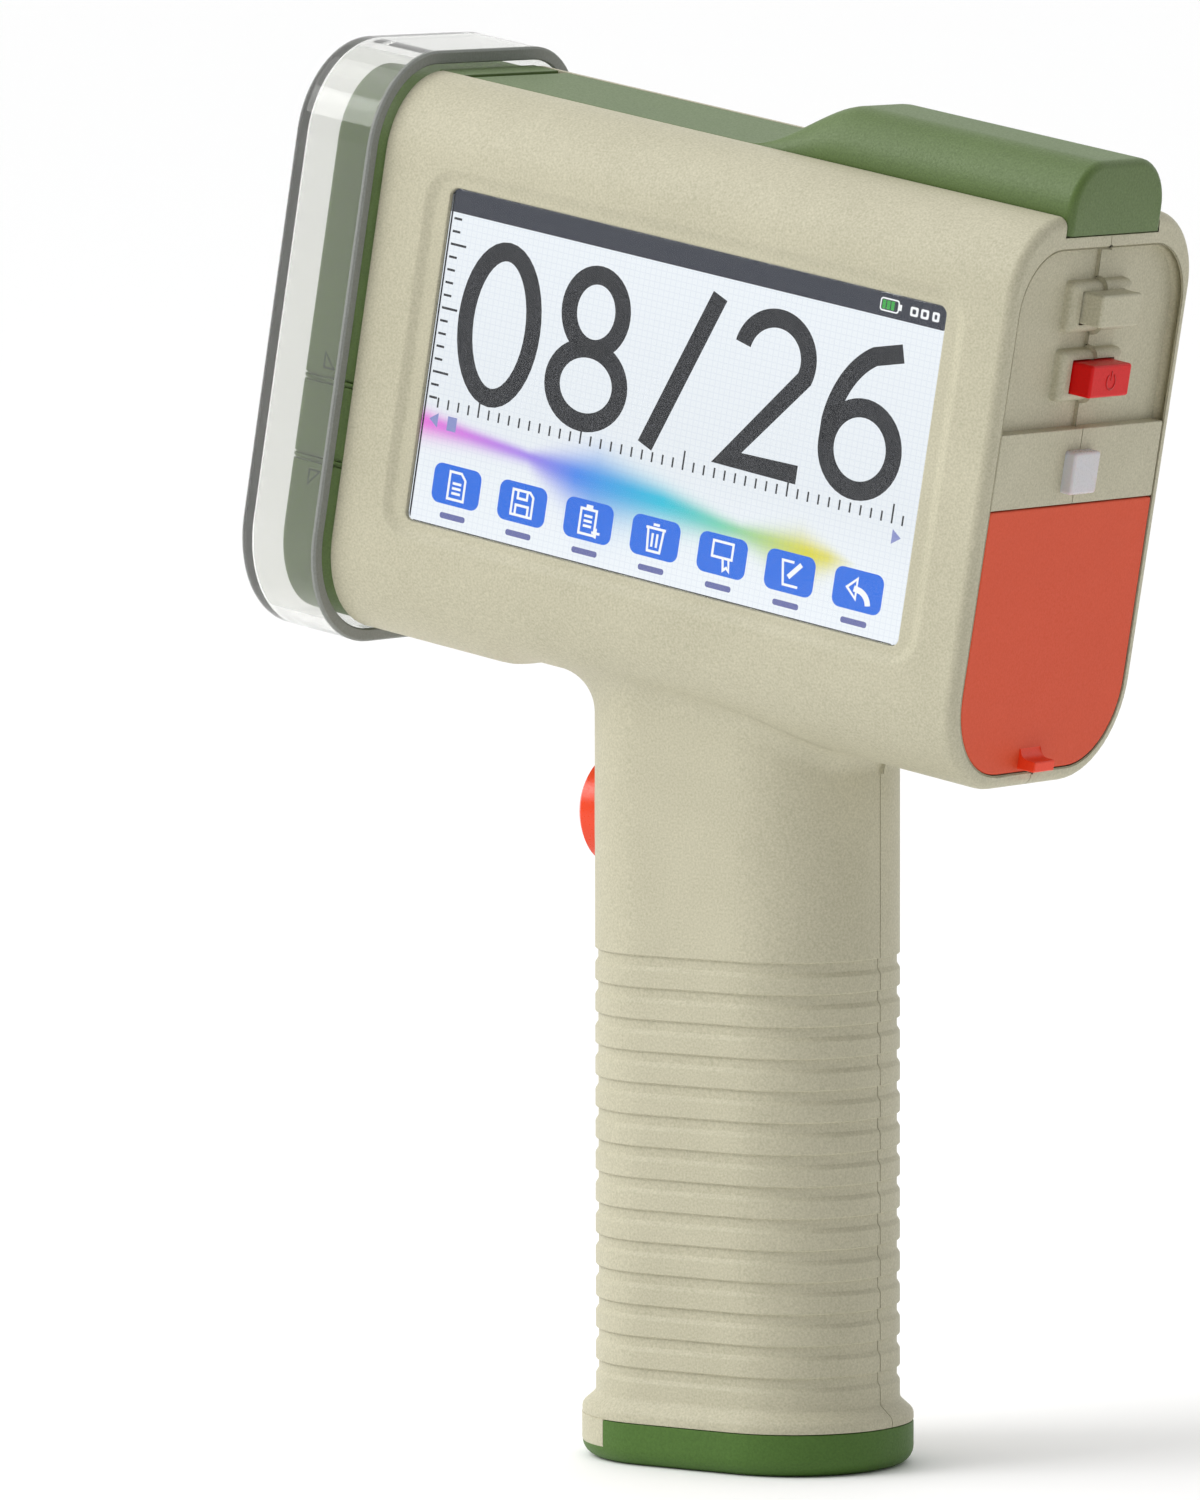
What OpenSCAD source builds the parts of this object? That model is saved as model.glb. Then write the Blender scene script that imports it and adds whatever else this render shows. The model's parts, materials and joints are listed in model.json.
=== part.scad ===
// Handheld inkjet date coder: a tilted print head on an upright pistol grip.
// Frame: origin on the ground under the grip's centre, +Z up, +X towards the rear (door) end,
// -X towards the print nose, -Y the side that carries the screen. All sizes in millimetres.

/* [Print head] */
// Angle of the head on the grip, nose up
head_tilt = 10; // [4:1:14]
// Depth of the head, screen side to back
head_depth = 52; // [50:1:64]
// Height of the head above the screen's centre
head_top = 43.2; // [42:0.1:54]
// Height of the head below the screen's centre
head_drop = 48.5; // [47:0.5:60]
// Reach of the shells from the screen's centre to the nose joint
front_reach = 61; // [60:0.5:75]
// Reach of the shells from the screen's centre to the rear rim
rear_reach = 60.2; // [58:0.1:75]
// Offset of the screen's centre towards the rear
head_x = 2.7; // [0:0.1:6]
// Height of the screen's centre above the ground
head_z = 169; // [160:1:220]
// Wall of the moulded shells
wall = 2.4; // [1.8:0.1:3]
// Corner radius along the head's top
corner_top = 12.5; // [8:0.5:14]
// Corner radius along the head's bottom
corner_bottom = 16; // [10:0.5:18]

/* [Grip] */
// Length of the grip's section, front to rear
grip_len = 51; // [42:1:62]
// Width of the grip's section
grip_width = 35.3; // [33:0.1:44]
// Corner radius of the grip's section
grip_radius = 17; // [12:0.5:17.5]
// Height of the foot cap
foot_height = 6.9; // [5:0.1:12]
// Height of the front tongue's lower edge in the foot cap
tongue_low = 2.4; // [2:0.1:4]
// Distance of the front tongue's edge behind the grip's front
tongue_len = 9.5; // [5:0.5:14]
// Height of the flange above the foot cap
flange_height = 3.2; // [2:0.1:6]
// How far the flange stands proud of the grip
flange_proud = 2.3; // [1:0.1:4]
// Height of the top grip groove above the ground
groove_top = 82; // [75:1:90]
// Distance from groove to groove
groove_pitch = 5.1; // [4:0.1:5.2]
// Height of one groove
groove_height = 2.3; // [1:0.1:3]
// Depth of one groove
groove_depth = 0.45; // [0.2:0.05:1]
// Number of grip grooves
groove_count = 14; // [6:1:14]

/* [Screen] */
// Width of the lit area
screen_w = 95; // [80:1:100]
// Height of the lit area
screen_h = 53.9; // [44:0.1:56]
// Thickness of the gasket between the shell and the display panel
gasket_t = 0.6; // [0.4:0.1:1.2]
// How far the glass lies below the shell's face
glass_sink = 1.2; // [0.4:0.1:1.2]
// Thickness of the display panel
panel_t = 3; // [2:0.1:4]
// Margin of the display panel past the lit area, to the sides
panel_side = 4.5; // [2:0.5:5]
// Margin of the display panel past the lit area, above and below
panel_edge = 3; // [2:0.1:3.5]

/* [Nose] */
// Length of the nose past the shells
nose_len = 10.3; // [8:0.1:16]
// Step of the nose's skin below the shells' skin
nose_step = 0.8; // [0.3:0.1:2]
// Gap between the nose face and the clear cover's inside
cover_gap = 4.7; // [4.2:0.1:8]
// Wall of the clear cover
cover_wall = 2; // [1.5:0.1:3]
// Clearance between the shells' outline and the cover's inside
cover_clear = 0.8; // [0.4:0.1:1.5]
// Gap between the cover's rim and the shells
cover_rim_gap = 1; // [0.5:0.1:3]
// Travel of the cover as it is pulled off
cover_travel = 24; // [18:1:40]
// Print height of the cartridge
swath = 12.7; // [10:0.1:15]
// Height of the print swath's middle below the screen's centre
swath_drop = 14.6; // [10:0.1:20]

/* [Rollers] */
// Radius of the two rollers
roller_r = 6; // [5:0.1:7]
// Width of the two rollers
roller_w = 14; // [10:1:20]
// How far the rollers stand proud of the nose face
roller_proud = 1.6; // [1:0.1:3]
// Radius of the roller axles
axle_r = 1.5; // [1:0.1:2]
// Height of the encoder roller above the screen's centre
encoder_rise = 18; // [10:1:24]
// Drop of the guide roller below the screen's centre
guide_drop = 36; // [34:1:38]

/* [Lid] */
// Width of the cartridge lid
lid_w = 26.6; // [26:0.1:32]
// Distance of the lid's front edge from the screen's centre
lid_front = 56.5; // [52:0.5:58]
// Wall of the lid
lid_t = 2.2; // [1.6:0.1:3]
// Height of the lid's bulge above the head
bulge_height = 8.8; // [6:0.1:14]
// Start of the bulge's ramp, behind the screen's centre
ramp_start = -1; // [-6:1:6]
// Length of the bulge's ramp
ramp_len = 17; // [12:1:24]
// Edge radius along the bulge
bulge_round = 8; // [4:0.5:8.5]
// Depth of the lid's end wall below the head's top
lid_end_drop = 2.9; // [2.4:0.1:5]
// Radius of the lid's hinge knuckle
lid_knuckle_r = 2; // [1.6:0.1:2.4]

/* [Rear panel] */
// Depth of the rear recess below the rim
recess_depth = 2.1; // [1:0.1:3]
// Width of the rim around the rear end
rim = 2.5; // [2:0.1:4]
// Height of the plate's top edge above the screen's centre
plate_top = 9.2; // [7:0.1:10]
// Drop of the door's top edge below the screen's centre
door_drop = 3; // [2:0.1:6]
// Thickness of the door
door_t = 2.2; // [1.6:0.1:3]
// Width of the door's pull tab
tab_w = 5.8; // [4:0.1:12]
// Height of the door's pull tab
tab_h = 3.4; // [2:0.1:5]
// Length of the door's pull tab
tab_len = 3.2; // [2:0.1:5]
// Sideways offset of the door's pull tab
tab_shift = -1.5; // [-4:0.5:4]

/* [Buttons] */
// Width of a button
button_w = 11.4; // [8:0.1:14]
// Height of a button
button_h = 5.2; // [4:0.1:6]
// How far a button stands proud of its surround
button_proud = 3.7; // [2:0.1:5]
// Travel of a button
button_travel = 1.2; // [0.5:0.1:1.8]
// Height of the power button above the screen's centre
power_rise = 17.5; // [17:0.1:19]
// Distance between the two buttons
button_pitch = 11.2; // [11:0.1:12]
// Margin of a button's surround past the button
surround_edge = 1.9; // [1:0.1:2.4]
// Width of the light pipe
light_w = 7.4; // [4:0.1:10]
// Height of the light pipe
light_h = 6.8; // [4:0.1:8]
// How far the light pipe stands proud of the plate
light_proud = 2; // [0.5:0.1:3]
// Height of the light pipe's middle above the screen's centre
light_rise = 2.4; // [2:0.1:4]

/* [Trigger] */
// Height of the trigger's middle above the ground
trigger_z = 103.3; // [96:0.1:106]
// Radius of the trigger cap
trigger_r = 8.6; // [7:0.1:9.7]
// How far the trigger stands proud of the grip
trigger_proud = 4.5; // [4:0.1:6]
// Straight side of the trigger cap in front of the grip
trigger_side = 1; // [0:0.1:1.5]
// Travel of the trigger
trigger_travel = 2.5; // [1:0.1:3]
// Radius of the trigger's stem
stem_r = 2; // [1.5:0.1:2.5]

/* [Cartridge] */
// Thickness of the ink cartridge
cartridge_t = 25; // [20:0.5:25.5]
// Length of the cartridge's body along the head
cartridge_len = 66; // [50:1:68]
// Height of the cartridge's body
cartridge_h = 62; // [50:1:62]
// Length of the cartridge's snout
snout_len = 12; // [11.5:0.1:13]
// Distance from the cartridge's lower edge to the middle of its nozzles
nozzle_edge = 9; // [8:0.1:10]
// Corner radius of the cartridge's body
cartridge_round = 6; // [2:0.5:8]

/* [Inside] */
// Length of the battery pack
battery_len = 40; // [30:1:42]
// Width of the battery pack
battery_w = 35; // [26:1:36]
// Height of the battery pack
battery_h = 30; // [22:1:31]
// Thickness of the inner plastic parts
inner_wall = 1.4; // [1:0.1:2]
// Thickness of the circuit boards
board_t = 1.6; // [1:0.2:2]
// Radius of the assembly screws
screw_r = 1.25; // [1:0.05:1.5]
// Radius of a screw's head
screw_head_r = 2.4; // [2:0.1:2.6]

/* [Hidden] */
$fn = 64;

// Clearances
fit_gap = 0.3;          // between pieces that slide past or seat in each other
run_gap = 0.05;         // radial, of a hinge pin or an axle
pull_gap = 0.4;         // around the cartridge in its cradle

// Head levels along its height (w) and depth (v)
half_depth = head_depth / 2;
inner_depth = half_depth - wall;
nose_face = front_reach + nose_len;
cover_face = nose_face + cover_gap + cover_wall;
plug_depth = 3;                                 // how far the nose frame reaches into the shells
panel_u = rear_reach - recess_depth;            // rear recess, outer face
panel_in = panel_u - wall;                      // rear recess, inner face
slot_half = lid_w / 2 + fit_gap;                // half width of the lid's slot in the shells
door_half = half_depth - rim - fit_gap;
recess_top = head_top - lid_end_drop - fit_gap - 2;

// Hinge axes, in the head's own frame
lid_axis_u = -lid_front + lid_knuckle_r;
lid_axis_w = head_top - lid_knuckle_r;
lid_end = rear_reach + 0.5;                     // outer face of the lid's end wall
knuckle_r = 1.9;                                // door knuckle
door_axis_u = rear_reach - knuckle_r - 0.1;
door_axis_w = -door_drop - knuckle_r - fit_gap;
pin_r = 0.8;                                    // both hinge pins

// Cartridge: nozzles face the nose, its tail lies under the lid's bulge
cartridge_low = -swath_drop - nozzle_edge;
cartridge_front = nose_face - 1 - snout_len;    // front of the body, as a reach
cartridge_back = cartridge_len - cartridge_front;
snout_h = 2 * nozzle_edge;
cradle_in = cartridge_t / 2 + pull_gap;
cradle_out = cradle_in + inner_wall;
cradle_low = cartridge_low - pull_gap;
cradle_front = cartridge_front - 2;

// Screen stack, measured as depths from the middle plane
glass_face = half_depth - glass_sink;
panel_face = inner_depth - gasket_t;
panel_back = panel_face - panel_t;
board_face = panel_back - 2;
board_back = board_face - board_t;
glass_w = screen_w + 0.4;
glass_h = screen_h + 0.4;

// Battery bay behind the door
tray_gap = 0.4;
tray_wall = 1.2;
battery_top = -door_drop - 7;
battery_rear = rear_reach - door_t - 3.5;
tray_half = battery_w / 2 + tray_gap + tray_wall;
tray_low = battery_top - battery_h - tray_gap - tray_wall;
tray_high = battery_top + tray_gap + tray_wall;
tray_front = battery_rear - battery_len - tray_gap - 3;

// Rollers, buttons and cradle
hub_r = roller_r - 1.6;
button_board_u = rear_reach - 14.2;
snout_half = 10;
surround_side = surround_edge + 1;              // margin of a button's surround to its sides
axle_reach = roller_w / 2 + 3;                  // half length of a roller's axle
slot_side = 1.2;                                // gap beside a roller in its slot
cradle_top = head_top - 7;

// Grip
foot_len = grip_len + 2 * flange_proud;
foot_width = grip_width + 2 * flange_proud * 0.7;
foot_radius = grip_radius + flange_proud * 0.7;
grip_inner = grip_radius - wall;
grip_join = head_z - head_drop + 12;            // top of the grip inside the head
trigger_face = -grip_len / 2;                   // front of the grip
trigger_flange = trigger_face + 7.3;            // front of the trigger's stop flange
flange_t = 1.6;
guide_r = trigger_r + 1 + fit_gap;              // bore of the trigger's guide
guide_front = trigger_face + 9.4;
guide_back = trigger_face + 19.5;               // closed end of the trigger's guide
switch_front = guide_back + 4.6;
switch_half = 6;
cup_wall = 1.4;                                 // wall of the trigger's guide
screw_sink = 12;                                // depth of the shell screws' counterbores
foot_screw_sink = 2.2;
foot_boss_y = grip_width / 2 - wall - 3.6;      // the two bosses that take the foot screws
foot_boss_z = foot_height + 5.6;
foot_boss_r = 4;

// Screw bosses of the two shells: [u, w] in the head, [x, z] in the grip
boss_r = 3.2;
head_bosses = [[-46, -head_drop + 9.5], [2, -head_drop + 9.5], [38, head_top - 8]];
grip_bosses = [[8, 70], [8, 24]];

// Main board's corners and the standoffs that it is screwed to, as [u, w]
board_low = [-54, -30];
board_high = [8, 30];
standoffs = [for (u = [-50, 2], w = [-20, 26]) [u, w]];

// ---------- Shared shapes ----------

// Puts the head's own frame (u rearwards, v across, w up) on the grip
module on_head() {
    translate([head_x, 0, head_z])
        rotate([0, head_tilt, 0])
            children();
}

// Carries a v-w outline along the head from reach u0 to u1
module along_head(u0, u1) {
    translate([u0, 0, 0])
        rotate([90, 0, 90])
            linear_extrude(u1 - u0)
                children();
}

// Rectangle with round corners: two radii, below and above
module round_rect(half, low, high, r_low, r_high) {
    translate([-half, low + r_low])
        square([2 * half, high - low - r_low - r_high]);
    translate([-half + r_low, low])
        square([2 * (half - r_low), r_low * 1.01]);
    translate([-half + r_high, high - r_high * 1.01])
        square([2 * (half - r_high), r_high * 1.01]);
    for (side = [-1, 1]) {
        translate([side * (half - r_low), low + r_low])
            circle(r_low);
        translate([side * (half - r_high), high - r_high])
            circle(r_high);
    }
}

// The head's outline, grown (or shrunk) all round
module head_outline(grow) {
    round_rect(half_depth + grow, -head_drop - grow, head_top + grow, corner_bottom + grow, corner_top + grow);
}

// The grip's section, grown (or shrunk) all round
module grip_outline(len, width, radius) {
    for (sx = [-1, 1], sy = [-1, 1])
        translate([sx * (len / 2 - radius), sy * (width / 2 - radius)])
            circle(radius);
    square([len, width - 2 * radius], center = true);
    square([len - 2 * radius, width], center = true);
}

// Box by its lowest and highest corners
module block(low, high) {
    translate(low)
        cube(high - low);
}

// Cylinder across the head or the grip, along Y
module cross_pin(u, w, y0, y1, r) {
    translate([u, y0, w])
        rotate([-90, 0, 0])
            cylinder(h = y1 - y0, r = r);
}

// Cylinder along the head or the grip, along X
module long_pin(u0, u1, v, w, r) {
    translate([u0, v, w])
        rotate([0, 90, 0])
            cylinder(h = u1 - u0, r = r);
}

// Everything on one side of the seam between the shells
module shell_side(side) {
    reach = 300;
    translate([-reach / 2, side < 0 ? -reach : 0, -reach / 6])
        cube([reach, reach, reach * 1.2]);
}

// ---------- Shells ----------

// Solid of the whole casing, grown by nothing or shrunk by its wall
module casing_solid(shrink) {
    on_head()
        along_head(-front_reach - (shrink > 0 ? 1 : 0), rear_reach - (shrink > 0 ? recess_depth + wall : 0))
            head_outline(-shrink);
    translate([0, 0, shrink > 0 ? -1 : foot_height])
        linear_extrude(grip_join - (shrink > 0 ? 0 : foot_height))
            grip_outline(grip_len - 2 * shrink, grip_width - 2 * shrink, grip_radius - shrink);
}

// Flange at the grip's foot, with its tongue at the front
module grip_flange() {
    translate([0, 0, foot_height])
        linear_extrude(flange_height)
            grip_outline(foot_len, foot_width, foot_radius);
    foot_tongue();
}

// The part of the foot's outline in front of the tongue's edge, above its lower edge
module foot_tongue() {
    intersection() {
        translate([0, 0, tongue_low])
            linear_extrude(foot_height - tongue_low + 1)
                grip_outline(foot_len, foot_width, foot_radius);
        block([-foot_len, -foot_width, 0], [trigger_face + tongue_len, foot_width, foot_height + 1]);
    }
}

// The ring grooves of the grip
module grip_grooves() {
    for (i = [0:groove_count - 1])
        translate([0, 0, groove_top - i * groove_pitch - groove_height])
            linear_extrude(groove_height)
                difference() {
                    square([grip_len * 2, grip_width * 2], center = true);
                    grip_outline(grip_len - 2 * groove_depth, grip_width - 2 * groove_depth, grip_radius - groove_depth);
                }
}

// Rear recess above the plate, with the two button surrounds left standing
module rear_recess() {
    difference() {
        along_head(panel_u, rear_reach + 1)
            round_rect(half_depth - rim, plate_top, recess_top, 0.5, corner_top - rim);
        for (rise = [power_rise, power_rise + button_pitch])
            block([panel_u - 1, -button_w / 2 - surround_side, rise - button_h / 2 - surround_edge],
                  [rear_reach, button_w / 2 + surround_side, rise + button_h / 2 + surround_edge]);
    }
}

// Everything cut out of the casing's outside
module casing_cuts() {
    on_head() {
        // slot for the lid and the nose frame's top
        block([-front_reach - 1, -slot_half, head_top - lid_t - fit_gap],
              [rear_reach + 1, slot_half, head_top + 1]);
        block([panel_in, -slot_half, head_top - lid_end_drop - fit_gap], [rear_reach + 1, slot_half, head_top + 1]);
        rear_recess();
        // doorway, open to the battery bay
        along_head(panel_in - 5, rear_reach + 1)
            round_rect(half_depth - rim, -head_drop + rim, -door_drop, corner_bottom - rim, 0.2);
        // button and light openings
        for (rise = [power_rise, power_rise + button_pitch])
            block([panel_in - 1, -button_w / 2 - fit_gap, rise - button_h / 2 - fit_gap],
                  [rear_reach + 1, button_w / 2 + fit_gap, rise + button_h / 2 + fit_gap]);
        block([panel_in - 1, -light_w / 2, light_rise - light_h / 2],
              [rear_reach + 1, light_w / 2, light_rise + light_h / 2]);
        // window and its shallow bevel step
        block([-glass_w / 2 - 0.2, -half_depth - 1, -glass_h / 2 - 0.2], [glass_w / 2 + 0.2, -inner_depth + 1, glass_h / 2 + 0.2]);
        block([-screen_w / 2 - 4.5, -half_depth - 1, -screen_h / 2 - 3], [screen_w / 2 + 4.5, -half_depth + 0.8, screen_h / 2 + 3]);
        // room for the lid's knuckle, and pin holes
        cross_pin(lid_axis_u, lid_axis_w, -slot_half, slot_half, lid_knuckle_r + fit_gap);
        cross_pin(door_axis_u, door_axis_w, -half_depth + 1, half_depth - 1, pin_r);
        cross_pin(lid_axis_u, lid_axis_w, -slot_half - 4, slot_half + 4, pin_r);
    }
    grip_grooves();
    // trigger opening
    long_pin(trigger_face - 1, trigger_flange, 0, trigger_z, trigger_r + fit_gap);
}

// Bosses on one shell, from its wall to the seam, with the screw hole
module bosses(side) {
    y_wall = side * (half_depth - wall / 2);
    y_grip = side * (grip_width / 2 - wall / 2);
    intersection() {
        union() {
            for (p = head_bosses)
                on_head()
                    boss_at(p, min(0, y_wall), max(0, y_wall), screw_r);
            for (p = grip_bosses)
                boss_at(p, min(0, y_grip), max(0, y_grip), screw_r);
        }
        casing_solid(0);
    }
}

// One boss with its hole
module boss_at(p, y0, y1, hole_r) {
    difference() {
        cross_pin(p[0], p[1], y0, y1, boss_r);
        cross_pin(p[0], p[1], y0 - 1, y1 + 1, hole_r);
    }
}

// One half of the casing
module half_shell(side) {
    intersection() {
        union() {
            difference() {
                union() {
                    casing_solid(0);
                    grip_flange();
                }
                casing_solid(wall);
                casing_cuts();
            }
            bosses(side);
            hinge_lugs();
            foot_bosses();
        }
        shell_side(side);
    }
}

// Lugs beside the lid's slot that take the ends of the lid's hinge pin
module hinge_lugs() {
    lug = lid_knuckle_r + 0.6;
    on_head()
        for (side = [-1, 1])
            difference() {
                block([lid_axis_u - lug, side > 0 ? slot_half : -slot_half - 2.6, lid_axis_w - lug],
                      [lid_axis_u + lug, side > 0 ? slot_half + 2.6 : -slot_half, lid_axis_w + 0.6]);
                cross_pin(lid_axis_u, lid_axis_w, -slot_half - 4, slot_half + 4, pin_r);
            }
}

// Upright bosses for the foot screws
module foot_bosses() {
    for (side = [-1, 1])
        translate([0, side * foot_boss_y, foot_boss_z])
            difference() {
                cylinder(h = 12, r = foot_boss_r);
                translate([0, 0, -1])
                    cylinder(h = 12, r = screw_r);
            }
}

module front_shell() {
    color("#cfc8aa")
        half_shell(-1);
}

module back_shell() {
    color("#cac3a5")
        difference() {
            half_shell(1);
            screw_clearance();
        }
}

// Counterbores for the shell screws in the back shell
module screw_clearance() {
    on_head()
        for (p = head_bosses)
            cross_pin(p[0], p[1], half_depth - screw_sink, half_depth + 5, screw_head_r + 0.2);
    for (p = grip_bosses)
        cross_pin(p[0], p[1], grip_width / 2 - screw_sink, grip_width / 2 + 5, screw_head_r + 0.2);
}

// ---------- Nose and clear cover ----------

// Middle of a roller along the head
function roller_u() = -nose_face + roller_r - roller_proud;

// Slot of one roller in the nose frame, with room for the ends of its axle
module roller_slot(w) {
    block([-nose_face - 1, -roller_w / 2 - slot_side, w - roller_r - 0.4],
          [-front_reach, roller_w / 2 + slot_side, w + roller_r + 0.4]);
    cross_pin(roller_u(), w, -axle_reach - fit_gap, axle_reach + fit_gap, axle_r + fit_gap);
}

// The two lugs that hold one roller's axle
module roller_lugs(w) {
    lug_t = 2;
    for (side = [-1, 1])
        difference() {
            block([-nose_face + 1, side > 0 ? roller_w / 2 + slot_side : -roller_w / 2 - slot_side - lug_t, w - 3.5],
                  [-front_reach, side > 0 ? roller_w / 2 + slot_side + lug_t : -roller_w / 2 - slot_side, w + 3.5]);
            cross_pin(roller_u(), w, -roller_w, roller_w, axle_r);
        }
}

module nose_frame() {
    plug_skin = 1.8;
    color("#567b3a")
        on_head() {
            difference() {
                union() {
                    difference() {
                        along_head(-nose_face, -front_reach)
                            head_outline(-nose_step);
                        along_head(-nose_face + wall, -front_reach + 1)
                            head_outline(-nose_step - wall);
                    }
                    difference() {
                        along_head(-front_reach - 1.5, -front_reach + plug_depth)
                            head_outline(-wall - fit_gap);
                        along_head(-front_reach - 2.5, -front_reach + plug_depth + 1)
                            head_outline(-wall - fit_gap - plug_skin);
                    }
                    // tongue that fills the front of the lid's slot
                    block([-front_reach - 1, -lid_w / 2, head_top - lid_t], [-lid_front - fit_gap, lid_w / 2, head_top]);
                }
                // window for the cartridge's snout
                block([-nose_face - 1, -snout_half - pull_gap, cartridge_low - pull_gap],
                      [-nose_face + wall + 1, snout_half + pull_gap, cartridge_low + snout_h + pull_gap]);
                roller_slot(encoder_rise);
                roller_slot(-guide_drop);
            }
            roller_lugs(encoder_rise);
            roller_lugs(-guide_drop);
        }
}

module nose_cover() {
    color("#dfe3e4", 0.4)
        on_head()
            difference() {
                along_head(-cover_face, -front_reach - cover_rim_gap)
                    head_outline(cover_clear + cover_wall);
                along_head(-cover_face + cover_wall, -front_reach)
                    head_outline(cover_clear);
            }
}

// ---------- Rollers ----------

// Rubber tyre of one roller
module tyre(w) {
    on_head()
        difference() {
            cross_pin(roller_u(), w, -roller_w / 2, roller_w / 2, roller_r);
            cross_pin(roller_u(), w, -roller_w, roller_w, hub_r);
        }
}

// Hub of one roller, bored for its axle
module hub(w) {
    on_head()
        difference() {
            cross_pin(roller_u(), w, -roller_w / 2, roller_w / 2, hub_r);
            cross_pin(roller_u(), w, -roller_w, roller_w, axle_r + run_gap);
        }
}

// Fixed axle of one roller
module axle(w) {
    on_head()
        cross_pin(roller_u(), w, -axle_reach, axle_reach, axle_r);
}

module encoder_tyre() {
    color("#2a2b2d")
        tyre(encoder_rise);
}

module encoder_hub() {
    color("#8f9296")
        hub(encoder_rise);
}

// Coded disc on the encoder roller's end
module encoder_disc() {
    color("#c9ccd0")
        on_head()
            difference() {
                cross_pin(roller_u(), encoder_rise, roller_w / 2, roller_w / 2 + 0.8, hub_r);
                cross_pin(roller_u(), encoder_rise, 0, roller_w, axle_r + run_gap);
            }
}

module encoder_axle() {
    color("#b9bcc0")
        axle(encoder_rise);
}

// Optical sensor behind the coded disc, on the nose frame's lug
module encoder_sensor() {
    color("#26282b")
        on_head()
            block([roller_u() + hub_r + 0.4, roller_w / 2 + fit_gap, encoder_rise - 2],
                  [-front_reach, roller_w / 2 + slot_side, encoder_rise + 2]);
}

module guide_tyre() {
    color("#2a2b2d")
        tyre(-guide_drop);
}

module guide_hub() {
    color("#8f9296")
        hub(-guide_drop);
}

module guide_axle() {
    color("#b9bcc0")
        axle(-guide_drop);
}

// ---------- Cartridge lid ----------

// Side profile of the lid's bulge, u against w; drop is how far it lies inside the outer skin
module bulge_profile(drop, base) {
    steps = 12;
    top = head_top + bulge_height - drop;
    flat = head_top - drop;
    ramp = [for (i = [0:steps])
        let (t = i / steps)
            [ramp_start + ramp_len * t + drop * 0.6, flat + (top - flat) * (1 - cos(180 * t)) / 2]];
    polygon(concat([[ramp_start + drop * 0.6, base]], ramp, [[lid_end - drop, top], [lid_end - drop, base]]));
}

// The bulge between its side faces, with round edges along its top
module bulge_solid(drop, base) {
    half = lid_w / 2 - drop;
    intersection() {
        translate([0, half, 0])
            rotate([90, 0, 0])
                linear_extrude(2 * half)
                    bulge_profile(drop, base);
        along_head(ramp_start - 5, lid_end + 1)
            round_rect(half, 0, head_top + bulge_height - drop, 1, bulge_round - drop);
    }
}

module cartridge_lid() {
    base = head_top - lid_t;
    color("#567b3a")
        on_head()
            difference() {
                union() {
                    difference() {
                        bulge_solid(0, base);
                        bulge_solid(lid_t, base - 1);
                    }
                    block([-lid_front + lid_knuckle_r, -lid_w / 2, base], [ramp_start + 1, lid_w / 2, head_top]);
                    block([lid_end - lid_t, -lid_w / 2, head_top - lid_end_drop], [lid_end, lid_w / 2, head_top]);
                    cross_pin(lid_axis_u, lid_axis_w, -lid_w / 2, lid_w / 2, lid_knuckle_r);
                }
                cross_pin(lid_axis_u, lid_axis_w, -lid_w, lid_w, pin_r + run_gap);
            }
}

module lid_hinge_pin() {
    color("#b9bcc0")
        on_head()
            cross_pin(lid_axis_u, lid_axis_w, -slot_half - 2.5, slot_half + 2.5, pin_r);
}

// ---------- Battery door and battery ----------

module battery_door() {
    tab_low = -head_drop + rim + fit_gap + 0.4;
    color("#c45a43")
        on_head()
            difference() {
                union() {
                    along_head(rear_reach - door_t, rear_reach)
                        round_rect(door_half, -head_drop + rim + fit_gap, door_axis_w, corner_bottom - rim - fit_gap, 0.2);
                    cross_pin(door_axis_u, door_axis_w, -door_half, door_half, knuckle_r);
                    block([rear_reach - 1, tab_shift - tab_w / 2, tab_low],
                          [rear_reach + tab_len, tab_shift + tab_w / 2, tab_low + tab_h]);
                }
                cross_pin(door_axis_u, door_axis_w, -head_depth, head_depth, pin_r + run_gap);
            }
}

module door_hinge_pin() {
    color("#b9bcc0")
        on_head()
            cross_pin(door_axis_u, door_axis_w, -half_depth + 1.1, half_depth - 1.1, pin_r);
}

module battery_tray() {
    rib_w = 4;
    color("#2d2f31")
        on_head() {
            difference() {
                block([tray_front, -tray_half, tray_low], [battery_rear, tray_half, tray_high]);
                block([tray_front + tray_wall, -tray_half + tray_wall, tray_low + tray_wall],
                      [battery_rear + 1, tray_half - tray_wall, tray_high - tray_wall]);
            }
            for (u = [tray_front + 8, battery_rear - 12])
                block([u, -rib_w, -head_drop + wall], [u + rib_w, rib_w, tray_low]);
        }
}

module battery_pack() {
    color("#31506e")
        on_head()
            along_head(battery_rear - battery_len, battery_rear)
                round_rect(battery_w / 2, battery_top - battery_h, battery_top, 3, 3);
}

module battery_contacts() {
    contact = 6;
    color("#c9a24a")
        on_head()
            for (v = [-battery_w / 4, battery_w / 4])
                block([tray_front + tray_wall, v - contact / 2, battery_top - battery_h / 2 - contact / 2],
                      [battery_rear - battery_len, v + contact / 2, battery_top - battery_h / 2 + contact / 2]);
}

// Charging socket on top of the battery tray, reached through the doorway
module usb_port() {
    shell_t = 0.4;
    low = [battery_rear - 8, 4, tray_high];
    size = [8, 9, 3.2];
    color("#b9bcc0")
        on_head()
            difference() {
                block(low, low + size);
                block(low + [2, shell_t, shell_t], low + size - [-1, shell_t, shell_t]);
            }
}

// ---------- Screen ----------

module touch_glass() {
    color("#eef3f6")
        on_head()
            block([-glass_w / 2, -glass_face, -glass_h / 2], [glass_w / 2, -panel_face, glass_h / 2]);
}

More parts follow.
